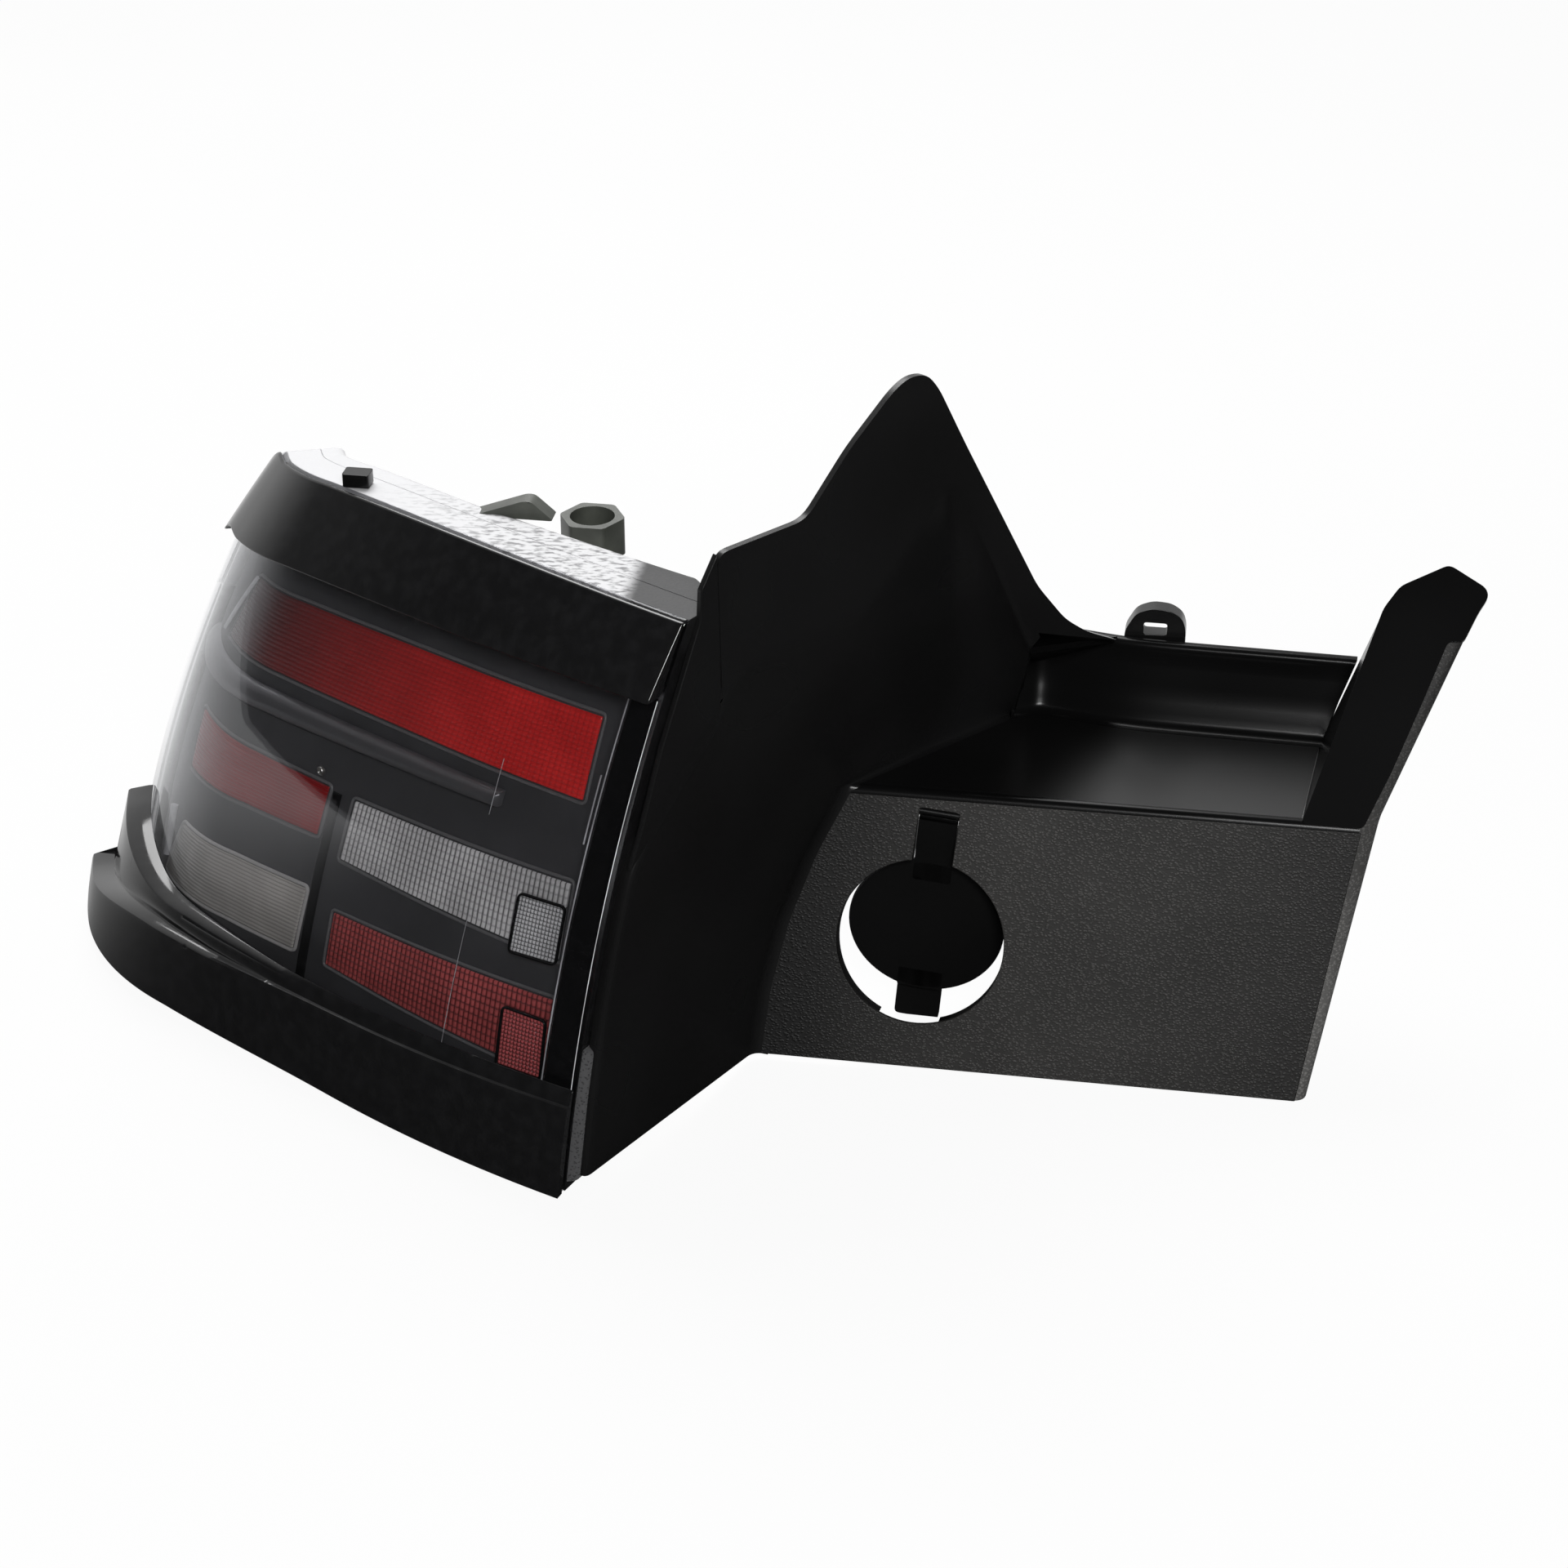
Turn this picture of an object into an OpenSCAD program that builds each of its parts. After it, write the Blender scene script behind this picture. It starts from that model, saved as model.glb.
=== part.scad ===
// Rear lamp cluster for the left side of a car body, with the closing panel
// that fills the body corner beside it.
// +Y points into the body, +Z up, X along the closing panel. Lengths are in
// millimetres. The lamp is laid out from the corner where shelf, panel and
// flank meet, and the whole part then moves so that the seat of the upper
// stud is the origin.

/* [Lamp face] */
// Height of the lens, lower edge to upper edge
lens_h = 200; // [180:1:220]
// Depth of the panel corner above the lower edge of the lens
corner_h = 95; // [80:1:110]
// How far the lens bows out halfway up, at the seam side
crown_in = 12; // [4:1:16]
// How far the lens bows out halfway up, at the outer side
crown_out = 10; // [4:1:12]
// Wall of the clear lens
lens_wall = 2.8; // [2:0.1:4]
// Depth of the lens side walls
lens_rim = 14; // [12:0.5:18]

/* [Gloss borders] */
// How far the lower edge of the upper border stands out
visor_out = 7.5; // [4:0.5:10]
// How far the lower border stands out at the outer side
sill_out = 19.3; // [14:0.1:22]
// Width of the border strip beside the seam
seam_border_w = 11; // [8:0.5:14]

/* [Housing] */
// Depth of the housing behind the lens
housing_depth = 58; // [54:1:64]
// Depth of the housing along its upper and lower edges
edge_depth = 30; // [26:1:34]
// Wall of the housing
housing_wall = 2.5; // [2:0.1:3.5]
// Radius of the stud bosses
boss_r = 10; // [8:0.5:13]

/* [Light units] */
// Depth of the bezel face behind the lens skin
bezel_depth = 16; // [15:0.5:18]
// Thickness of the bezel
bezel_t = 2.2; // [1.5:0.1:3]
// Thickness of the light unit lenses
unit_t = 5; // [3.5:0.5:6]
// Depth of the reflector trays
tray_depth = 18; // [14:1:20]
// Wall of the reflector trays
tray_wall = 1.6; // [1.2:0.1:2.4]
// Thickness of the circuit boards
board_t = 1.6; // [1:0.1:2]
// Height of the light chips
chip_t = 1.4; // [0.8:0.1:2]

/* [Fixings] */
// Radius of the mounting studs
stud_r = 3; // [2.5:0.5:4]
// Free length of the mounting studs
stud_len = 22; // [16:1:30]
// Thickness of the gasket rings under the studs
gasket_t = 3; // [2:0.5:5]
// Radius of the locating pin
pin_r = 4; // [3:0.5:5]
// Length of the locating pin
pin_len = 16; // [10:1:22]
// Radius of the panel screw shanks
screw_r = 2.4; // [2:0.1:3]
// Radius of the panel screw heads
screw_head_r = 6; // [5:0.5:7.5]
// Thickness of the screw ears on the closing panel
ear_t = 3; // [2.5:0.5:4]

/* [Closing panel] */
// Wall of the closing panel
wall = 2.5; // [2:0.1:3.5]
// Length of the panel's upper edge
panel_top = 188; // [176:1:200]
// Length of the panel's lower edge
panel_low = 201; // [190:1:210]
// Height of the panel along its face
panel_h = 104; // [96:1:112]
// How far the panel leans back, degrees
panel_lean = 20; // [14:1:24]
// How far the lower left corner lies outside the upper one
panel_shift = 29; // [22:1:34]
// How far the panel's left edge bows out
edge_bow = 6.5; // [3:0.5:9]
// Depth of the shelf
shelf_d = 61; // [54:1:68]
// Height of the wall behind the shelf, along its face
back_h = 33; // [26:1:40]
// How far the bowl sinks below a straight sheet
bowl_sink = 14; // [8:1:18]
// Width of the return along the outer edge of the panel
return_w = 11; // [6:0.5:12]

/* [Access opening] */
// Radius of the access opening
hole_r = 31; // [28:0.5:33]
// Distance from the panel's left corner to the opening, along X
hole_x = 31; // [29:0.5:36]
// Distance from the panel's upper edge down to the opening's centre
hole_drop = 56.5; // [54:0.5:60]
// Depth of the collar behind the opening
collar_d = 9; // [6:0.5:12]
// Wall of the collar
collar_wall = 2.2; // [1.6:0.1:3]
// Gap around the flap disc
flap_gap = 1.6; // [1:0.1:2.5]
// Width of the latch tab
tab_w = 17; // [14:0.5:19]
// Thickness of the flap
flap_t = 2.4; // [1.8:0.1:3]
// Width of the flap strap
strap_w = 14.4; // [11:0.2:17]
// Distance from the hinge down to the opening's centre
hinge_reach = 48.5; // [46:0.5:50]
// How far the flap stands open, degrees
flap_open = 22; // [0:1:35]
// Turn of the flap in the plane of the panel, degrees
flap_turn = 5; // [0:0.5:8]
// Radius of the hinge pin
hinge_r = 1.6; // [1.2:0.1:2]
// Running clearance of the hinge pin
hinge_gap = 0.06; // [0.03:0.01:0.1]

/* [Hidden] */
$fn = 48;

function mix(a, b, f) = a * (1 - f) + b * f;
function clamp01(f) = min(max(f, 0), 1);
function ease(f) = let (c = clamp01(f)) c * c * (3 - 2 * c);

// How far the bezel and the light units step forward towards the outer side
function step_out(u) = 7.5 * ease((u - 0.3) / 0.5);

// Clearance between pieces that seat on each other
seat = 0.2;

// Plan curves of the lens edges: start, heading, and arcs as [length, turn].
// The arcs meet at the same shares u of the way round on both curves.
u_knots = [0, 0.55, 0.85, 1];
low_edge = [[-80, -135], 159, [[198, -20], [77, -31], [64, -6]]];
high_edge = [[-43, -81], 151, [[178, -8], [62, -50], [45, -6]]];

// Share of arc i that lies before u
function span(u, i) = clamp01((u - u_knots[i]) / (u_knots[i + 1] - u_knots[i]));
// Step along an arc of radius length / turn, from heading h, as far as share f
function swing(arc, h, f) =
  let (r = arc[0] / (arc[1] * PI / 180), t = arc[1] * f)
  r * [sin(h + t) - sin(h), cos(h) - cos(h + t)];
function heading(c, u) = c[1] + c[2][0][1] * span(u, 0) + c[2][1][1] * span(u, 1) + c[2][2][1] * span(u, 2);
function plan(c, u) =
  c[0] + swing(c[2][0], c[1], span(u, 0))
  + swing(c[2][1], c[1] + c[2][0][1], span(u, 1))
  + swing(c[2][2], c[1] + c[2][0][1] + c[2][1][1], span(u, 2));
function crown(u) = mix(crown_in, crown_out, clamp01(u / 0.7));

// Point of the lamp: share u round from the seam, share v up, depth d behind
// the lens skin, measured level and square to the lens
function skin(u, v, d) =
  let (
    h = mix(heading(low_edge, u), heading(high_edge, u), v),
    p = mix(plan(low_edge, u), plan(high_edge, u), v) + (crown(u) * 4 * v * (1 - v) - d) * [-sin(h), cos(h)]
  )
  [p[0], p[1], v * lens_h - corner_h];
// Point of a shell of the lamp: its upper edge falls away round the outer corner
function fall(u) = 0.035 * pow(clamp01(u / 0.7), 3) + 0.42 * ease((u - 0.74) / 0.26);
function shell(u, v, d) = skin(u, v * (1 - fall(u)), d);
// Point beside the seam: share v up, depth d, and o millimetres out from the end of the lamp
function beside(v, d, o) =
  let (h = mix(low_edge[1], high_edge[1], v)) skin(0, v, d) - o * [cos(h), sin(h), 0];
// Shares of the way round and up that measure one millimetre, taken near the middle
u_mm = 1 / 340;
v_mm = 1 / lens_h;

// Seat of the upper stud, which becomes the origin
datum = [-113, housing_depth - 46, 49];
module from_datum() { translate(-datum) children(); }

// Closed block whose front and back are grids of f(a, b, 0) and f(a, b, 1)
module block(f, na, nb) {
  row = na + 1;
  count = row * (nb + 1);
  points = [for (c = [0, 1], j = [0:nb], i = [0:na]) f(i / na, j / nb, c)];
  faces = concat(
    [for (j = [0:nb - 1], i = [0:na - 1], k = [0, 1]) let (p = j * row + i)
      k == 0 ? [p, p + 1, p + row + 1] : [p, p + row + 1, p + row]],
    [for (j = [0:nb - 1], i = [0:na - 1], k = [0, 1]) let (p = count + j * row + i)
      k == 0 ? [p, p + row + 1, p + 1] : [p, p + row, p + row + 1]],
    [for (s = [0:2 * (na + nb) - 1], k = [0, 1])
      let (p = edge_index(s, na, nb), q = edge_index(s + 1, na, nb))
      k == 0 ? [p, q + count, q] : [p, p + count, q + count]]
  );
  polyhedron(points, faces);
}
// Index of the grid point at step s around the edge of a grid of na by nb cells
function edge_index(s, na, nb) =
  let (row = na + 1, n = 2 * (na + nb), k = s % n)
  k < na ? k
  : k < na + nb ? na + (k - na) * row
  : k < 2 * na + nb ? nb * row + na - (k - na - nb)
  : (n - k) * row;
// Shares [a, b] of the same point
function edge_share(s, na, nb) =
  let (p = edge_index(s, na, nb), row = na + 1) [(p % row) / na, floor(p / row) / nb];

// Open tray: f(a, b, 0) is the closed face, f(a, b, 1) the inside of it,
// f(a, b, 2) the outer rim and f(a, b, 3) the inner rim
module tray(f, na, nb, opens_back) {
  row = na + 1;
  count = row * (nb + 1);
  ring = 2 * (na + nb);
  points = concat(
    [for (c = [0, 1], j = [0:nb], i = [0:na]) f(i / na, j / nb, c)],
    [for (c = [2, 3], s = [0:ring - 1]) let (e = edge_share(s, na, nb)) f(e[0], e[1], c)]
  );
  faces = concat(
    [for (j = [0:nb - 1], i = [0:na - 1], k = [0, 1]) let (p = j * row + i)
      k == 0 ? [p, p + 1, p + row + 1] : [p, p + row + 1, p + row]],
    [for (j = [0:nb - 1], i = [0:na - 1], k = [0, 1]) let (p = count + j * row + i)
      k == 0 ? [p, p + row + 1, p + 1] : [p, p + row, p + row + 1]],
    [for (s = [0:ring - 1], k = [0:5])
      let (
        t = (s + 1) % ring,
        p = edge_index(s, na, nb), q = edge_index(t, na, nb),
        outer_p = 2 * count + s, outer_q = 2 * count + t
      )
      k == 0 ? [p, outer_q, q]
      : k == 1 ? [p, outer_p, outer_q]
      : k == 2 ? [outer_p, outer_q + ring, outer_q]
      : k == 3 ? [outer_p, outer_p + ring, outer_q + ring]
      : k == 4 ? [outer_p + ring, q + count, outer_q + ring]
      : [outer_p + ring, p + count, q + count]]
  );
  polyhedron(points, opens_back ? faces : [for (t = faces) [t[2], t[1], t[0]]]);
}

// Twice the area enclosed by a ring of corners, as a vector square to it
function turn_sum(q, i) = i < 0 ? [0, 0, 0] : cross(q[i], q[(i + 1) % len(q)]) + turn_sum(q, i - 1);
// Flat piece: a ring of corners carried along the vector w
module prism(corners, w) {
  n = len(corners);
  p = turn_sum(corners, n - 1) * w > 0 ? corners : [for (i = [n - 1:-1:0]) corners[i]];
  polyhedron(
    concat(p, [for (q = p) q + w]),
    concat([[for (i = [0:n - 1]) i]], [[for (i = [0:n - 1]) 2 * n - 1 - i]],
      [for (i = [0:n - 1]) [(i + 1) % n, i, i + n, (i + 1) % n + n]])
  );
}

// Window of a light unit as its corners in shares [u, v]: seam side low and
// high, then outer side low and high
upper_tail_win = [[0.086, 0.643], [0.091, 0.783], [0.738, 0.613], [0.697, 0.746]];
side_tail_win = [[0.428, 0.387], [0.427, 0.481], [0.74, 0.349], [0.748, 0.464]];
turn_win = [[0.43, 0.159], [0.426, 0.286], [0.771, 0.116], [0.717, 0.246]];
reverse_win = [[0.069, 0.371], [0.074, 0.508], [0.388, 0.367], [0.387, 0.48]];
fog_win = [[0.064, 0.155], [0.067, 0.3], [0.379, 0.165], [0.38, 0.27]];
blade_win = [[0.185, 0.584], [0.185, 0.613], [0.85, 0.527], [0.85, 0.58]];
reverse_prism_win = [[0.069, 0.371], [0.071, 0.472], [0.128, 0.362], [0.13, 0.465]];
fog_prism_win = [[0.064, 0.155], [0.068, 0.264], [0.119, 0.15], [0.122, 0.26]];

// Point of a window at shares a along and b up, grown by g millimetres on every side
function in_window(w, a, b, g) =
  let (
    low = mix(w[0], w[2], a), high = mix(w[1], w[3], a), p = mix(low, high, b)
  )
  [p[0] + (2 * a - 1) * g * u_mm, p[1] + (2 * b - 1) * g * v_mm];
function window_point(w, a, b, g, d) = let (p = in_window(w, a, b, g)) skin(p[0], p[1], d - step_out(p[0]));
// Cells along a window, about one for each share of cell_share round
cell_share = 0.035;
function cells(w) = max(2, round((w[2][0] - w[0][0]) / cell_share));

// Block that fills a window, grown by g, from depth d0 to d1
module window_block(w, g, d0, d1) {
  block(function (a, b, c) window_point(w, a, b, g, mix(d0, d1, c)), cells(w), 2);
}

unit_front = bezel_depth - 0.8;
unit_back = unit_front + unit_t;
tray_front = unit_back + seat;
tray_back = tray_front + tray_depth;
board_back = tray_back - tray_wall - seat;
board_front = board_back - board_t;
window_gap = 0.3;

module unit_lens(w) { window_block(w, -window_gap, unit_front, unit_back); }
module unit_tray(w) {
  tray(
    function (a, b, c)
      let (g = c % 2 == 0 ? 1 : 1 - tray_wall)
      window_point(w, a, b, g, c == 0 ? tray_back : c == 1 ? tray_back - tray_wall : tray_front),
    cells(w), 2, false
  );
}
module unit_board(w) { window_block(w, 1 - tray_wall - seat, board_front, board_back); }
// Row of light chips on a board
module unit_chips(w, n) {
  for (i = [0:n - 1]) {
    a = (i + 0.5) / n;
    half = 0.006 / (w[2][0] - w[0][0]);
    block(
      function (p, q, c)
        window_point(w, a + (2 * p - 1) * half, 0.5 + (2 * q - 1) * 0.1, 0,
          mix(board_front - chip_t, board_front - 0.12, c)),
      1, 1
    );
  }
}

// Cells along the lens, and how many of them the borders cover
lens_cells = 32;
visor_end = 25;
sill_end = 28;
// Thickness of the adhesive film under the borders
film = 0.2;

// The lens: a shell closed at the skin, with side walls back to the housing
module outer_lens() color([0.25, 0.25, 0.26, 0.5]) from_datum() {
  tray(
    function (a, b, c)
      let (m = c % 2 == 0 ? 0 : lens_wall, u = mix(m * u_mm, 1 - m * u_mm, a), v = mix(m * v_mm, 1 - m * v_mm, b))
      shell(u, v, c == 0 ? 0 : c == 1 ? lens_wall : lens_rim),
    lens_cells, 14, true
  );
}

// Visor border: its lower edge stands out, its upper edge meets the lens edge
visor_low_in = 0.884;
visor_low_out = 0.857;
module upper_border() color([0.03, 0.03, 0.03]) from_datum() {
  block(
    function (a, b, c)
      let (u = a * visor_end / lens_cells, v = mix(mix(visor_low_in, visor_low_out, a), 1, b))
      shell(u, v, c == 1 ? -film : -mix(visor_out, 1.5, b)),
    visor_end, 3
  );
}

// Sill border along the lower edge of the lens: a band that stands out further
// towards the outer side, with a ledge above it. Profile as [height, share out]
sill_in = 3;
function sill_reach(u) = mix(sill_in, sill_out, ease((u - 0.3) / 0.5));
function band_top(u) = mix(0.177, 0.14, clamp01(u / 0.5)) - 0.07 * ease((u - 0.6) / 0.3);
function ledge_top(u) = mix(0.203, 0.175, clamp01(u / 0.4)) + 0.035 * ease((u - 0.6) / 0.25);
function sill_profile(u) = [
  [-0.002, 1], [band_top(u), 1], [band_top(u) + 0.004, 0.55], [ledge_top(u), 0.5], [ledge_top(u) + 0.006, 0.1]
];
module lower_border() color([0.03, 0.03, 0.03]) from_datum() {
  block(
    function (a, b, c)
      let (u = a * sill_end / lens_cells, p = sill_profile(u)[round(4 * b)])
      skin(u, c == 1 ? mix(0, ledge_top(u) + 0.006, b) : p[0], c == 1 ? -film : -p[1] * sill_reach(u)),
    sill_end, 4
  );
}

// Border strip behind the lens along the seam
module seam_border() color([0.02, 0.02, 0.02]) from_datum() {
  block(
    function (a, b, c)
      let (edge = lens_wall + seat + 0.1)
      skin((edge + a * seam_border_w) * u_mm, mix(edge * v_mm, 1 - edge * v_mm, b), edge + c * 2),
    2, 10
  );
}

// Depth of the back of the housing: full in the middle, less towards every edge
function housing_back(u, v) =
  let (
    edge = mix(edge_depth, edge_depth - 6, clamp01(u / 0.35)),
    rise = ease(v / 0.06) * ease((1 - v) / 0.2) * mix(seam_rise, 1, ease(u / 0.16)) * mix(1, 0.1, ease((u - 0.78) / 0.2))
  )
  mix(edge, housing_depth, rise);
seam_rise = 0.3;
// Share of the way round by which the end wall recedes, at the top only
function end_shift(v, d) = 0.065 * ease((v - 0.8) / 0.15) * clamp01((d - lens_rim) / 16);

// Seats on the back of the housing; those of the studs lie on the gasket rings
stud_upper_at = datum;
stud_lower_at = datum + [-28, -28, -100];
pin_at = datum + [-115, 72, -47];
ear_upper_at = datum + [39, -34, -4];
ear_lower_at = datum + [17, -56, -84];
boss_sink = 16;
// The studs start on the bosses and run through the gasket rings
function stud_base(at) = at - [0, gasket_t, 0];

module boss(at, r, drop) { translate([at[0], at[1] - drop, at[2]]) rotate([-90, 0, 0]) cylinder(r = r, h = drop); }

// Local frame on the back of the housing: y away from the lens, x along it
module on_back(u, v, d) {
  turn = mix(heading(low_edge, u), heading(high_edge, u), v) - 180;
  translate(skin(u, v, d)) rotate([0, 0, turn]) children();
}
connector_u = 0.4;
connector_v = 0.5;
vent_u = 0.52;
vent_v = 0.62;
pad_depth = housing_depth + 5;
connector_w = 34;
connector_h = 20;
connector_len = 24;
vent_r = 8;
// Bulb holder near the upper edge, on a round seat with a web in front of it
holder_at = [-92, 1, lens_h - corner_h - 17];
holder_r = 12;
holder_h = 14;
holder_sink = 22;
web_w = 10;
web_h = 18;
// Outline of the gusset on the upper edge, from the height of the lens, its front face and thickness
gusset_outline = [[-134, -2], [-115, 5], [-112, 5], [-104, -2]];
gusset_y = -8;
gusset_t = 7;

module housing() color([0.82, 0.82, 0.83]) from_datum() {
  difference() {
    union() {
      tray(
        function (a, b, c)
          let (
            m = c % 2 == 0 ? 0 : housing_wall,
            d = c == 0 ? housing_back(a, b) : c == 1 ? housing_back(a, b) - housing_wall : lens_rim + seat,
            v = mix(m * v_mm, 1 - m * v_mm, b),
            u = mix(m * u_mm + end_shift(v, d), 1 - m * u_mm, a)
          )
          shell(u, v, d),
        lens_cells, 14, false
      );
      for (at = [stud_upper_at, stud_lower_at]) boss(stud_base(at), boss_r, boss_sink);
      boss(pin_at, boss_r, boss_sink);
      boss(ear_upper_at, boss_r - 2, boss_sink);
      boss(ear_lower_at, boss_r - 2, boss_sink);
      // Pads for the connector and the vent, and the seat of the bulb holder
      on_back(connector_u, connector_v, pad_depth)
        translate([-connector_w / 2 - 1, -9, -connector_h / 2 - 1]) cube([connector_w + 2, 9, connector_h + 2]);
      on_back(vent_u, vent_v, pad_depth) rotate([90, 0, 0]) cylinder(r = vent_r + 2, h = 9);
      translate(holder_at - [0, 0, holder_sink]) cylinder(r = holder_r - 3, h = holder_sink);
      translate(holder_at - [web_w / 2, holder_sink, web_h + 2]) cube([web_w, holder_sink, web_h]);
      // Gusset on the upper edge
      prism([for (p = gusset_outline) [p[0], gusset_y, lens_h - corner_h + p[1]]], [0, gusset_t, 0]);
    }
    // Bores for the screws of the closing panel
    for (at = [ear_upper_at, ear_lower_at]) boss([at[0], at[1] + 1, at[2]], screw_r, boss_sink - 4);
  }
}

// Share of the way round where the bezel starts, behind the seam border
bezel_start = 0.028;
module bezel() color([0.2, 0.2, 0.21]) from_datum() {
  difference() {
    block(
      function (a, b, c)
        let (m = lens_wall + seat + 0.25)
        let (u = mix(bezel_start, 1 - 1.3 * m * u_mm, a))
        shell(u, mix(m * v_mm, 1 - m * v_mm, b), bezel_depth - step_out(u) + c * bezel_t),
      lens_cells, 8
    );
    for (w = [upper_tail_win, side_tail_win, turn_win, reverse_win, fog_win])
      window_block(w, 0, bezel_depth - 2, bezel_depth + bezel_t + 2);
  }
}

module trim_blade() color([0.45, 0.45, 0.46]) from_datum()
  window_block(blade_win, 0, bezel_depth - 4.6, bezel_depth - seat - 0.15);

module upper_tail_lens() color([0.62, 0.05, 0.06]) from_datum() unit_lens(upper_tail_win);
module side_tail_lens() color([0.55, 0.05, 0.06]) from_datum() unit_lens(side_tail_win);
module turn_lens() color([0.8, 0.8, 0.78]) from_datum() unit_lens(turn_win);
module reverse_lens() color([0.8, 0.8, 0.78]) from_datum() unit_lens(reverse_win);
module fog_lens() color([0.6, 0.05, 0.06]) from_datum() unit_lens(fog_win);

module reverse_prism() color([0.85, 0.85, 0.83]) from_datum()
  window_block(reverse_prism_win, -0.4, unit_front - 2.6, unit_front - seat);
module fog_prism() color([0.65, 0.06, 0.07]) from_datum()
  window_block(fog_prism_win, -0.4, unit_front - 2.6, unit_front - seat);

module upper_tail_tray() color([0.7, 0.7, 0.72]) from_datum() unit_tray(upper_tail_win);
module side_tail_tray() color([0.7, 0.7, 0.72]) from_datum() unit_tray(side_tail_win);
module turn_tray() color([0.7, 0.7, 0.72]) from_datum() unit_tray(turn_win);
module reverse_tray() color([0.7, 0.7, 0.72]) from_datum() unit_tray(reverse_win);
module fog_tray() color([0.7, 0.7, 0.72]) from_datum() unit_tray(fog_win);

module upper_tail_board() color([0.1, 0.35, 0.2]) from_datum() unit_board(upper_tail_win);
module side_tail_board() color([0.1, 0.35, 0.2]) from_datum() unit_board(side_tail_win);
module turn_board() color([0.1, 0.35, 0.2]) from_datum() unit_board(turn_win);
module reverse_board() color([0.1, 0.35, 0.2]) from_datum() unit_board(reverse_win);
module fog_board() color([0.1, 0.35, 0.2]) from_datum() unit_board(fog_win);

module light_chips() color([0.9, 0.85, 0.5]) from_datum() {
  unit_chips(upper_tail_win, 14);
  unit_chips(side_tail_win, 7);
  unit_chips(turn_win, 7);
  unit_chips(reverse_win, 6);
  unit_chips(fog_win, 6);
}

// Driver unit on the floor of the housing, behind the seam side units, clear of their trays
driver_gap = 5.9;
module driver_unit() color([0.15, 0.15, 0.16]) from_datum() {
  block(
    function (a, b, c)
      let (floor_d = housing_depth - housing_wall - seat)
      skin(mix(0.18, 0.33, a), mix(0.42, 0.6, b), mix(tray_back + driver_gap, floor_d, c)),
    4, 2
  );
}

// Connector on its pad on the back of the housing
module on_connector() { on_back(connector_u, connector_v, pad_depth) children(); }
module connector_socket() color([0.08, 0.08, 0.09]) from_datum() {
  on_connector() difference() {
    translate([-connector_w / 2, 0, -connector_h / 2]) cube([connector_w, connector_len, connector_h]);
    translate([2 - connector_w / 2, 4, 2 - connector_h / 2]) cube([connector_w - 4, connector_len, connector_h - 4]);
  }
}
module contact_pins() color([0.8, 0.7, 0.35]) from_datum()
  on_connector() for (i = [0:4], k = [0, 1]) translate([-12.5 + 6 * i, 4, k * 6 - 3.5]) cube([1, 8, 1]);

module vent_cap() color([0.1, 0.1, 0.1]) from_datum()
  on_back(vent_u, vent_v, pad_depth) rotate([-90, 0, 0]) union() {
    cylinder(r = vent_r, h = 5);
    cylinder(r = vent_r + 2, h = 1.5);
  }

// Hexagonal holder with a round recess, on the shoulder of the housing
module bulb_holder() color([0.55, 0.57, 0.53]) from_datum()
  translate(holder_at) difference() {
    cylinder(r = holder_r, h = holder_h, $fn = 6);
    translate([0, 0, 5]) cylinder(r = holder_r - 4, h = holder_h);
  }

module body_gasket() color([0.1, 0.1, 0.1]) from_datum()
  for (at = [stud_upper_at, stud_lower_at]) translate(stud_base(at)) rotate([-90, 0, 0]) difference() {
    cylinder(r = boss_r, h = gasket_t);
    translate([0, 0, -1]) cylinder(r = stud_r + 3, h = gasket_t + 2);
  }

foam_out_low = 4.4;
foam_out_high = 1.2;
// Shares up the seam between which the foam runs, and its depths behind the lens
foam_v = [0.02, 0.28];
foam_d = [2, 12];
module seam_foam() color([0.24, 0.24, 0.25]) from_datum() {
  block(
    function (a, b, c)
      let (v = mix(foam_v[0], foam_v[1], b))
      beside(v, mix(foam_d[0], foam_d[1], a), c == 1 ? mix(foam_out_low, foam_out_high, v) : seat),
    2, 10
  );
}

module stud(at) translate(stud_base(at)) rotate([-90, 0, 0]) cylinder(r = stud_r, h = stud_len + gasket_t);
module stud_upper() color([0.7, 0.7, 0.68]) from_datum() stud(stud_upper_at);
module stud_lower() color([0.7, 0.7, 0.68]) from_datum() stud(stud_lower_at);
module locating_pin() color([0.1, 0.1, 0.1]) from_datum()
  translate(pin_at) rotate([-90, 0, 0]) union() {
    cylinder(r = pin_r, h = pin_len - 4);
    translate([0, 0, pin_len - 4]) cylinder(r = pin_r - 1, h = 4);
  }

// Peg on the upper edge of the lens
peg_u = 0.515;
peg_d = 5.5;
module top_peg() color([0.05, 0.05, 0.05]) from_datum() {
  at = shell(peg_u, 1, peg_d);
  translate([at[0] - 5, at[1] - 3.5, at[2] + 0.6]) cube([10, 7, 5]);
}

// Plane of the closing panel: local x along it, y up its face, z out of it
module on_panel() { rotate([90 - panel_lean, 0, 0]) children(); }
function panel_left(s) = -panel_shift * s - edge_bow * 4 * s * (1 - s);
edge_steps = 10;

// Flap frame: local origin on the hinge, x along the pin, y up the strap
module at_hinge() {
  on_panel() translate([hole_x, -hole_drop, 0]) rotate([0, 0, -flap_turn]) translate([0, hinge_reach, -hinge_back])
    children();
}
hinge_back = hinge_r + 1.4;
tab_gap = 1.9;
strap_gap = 0.6;

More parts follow.
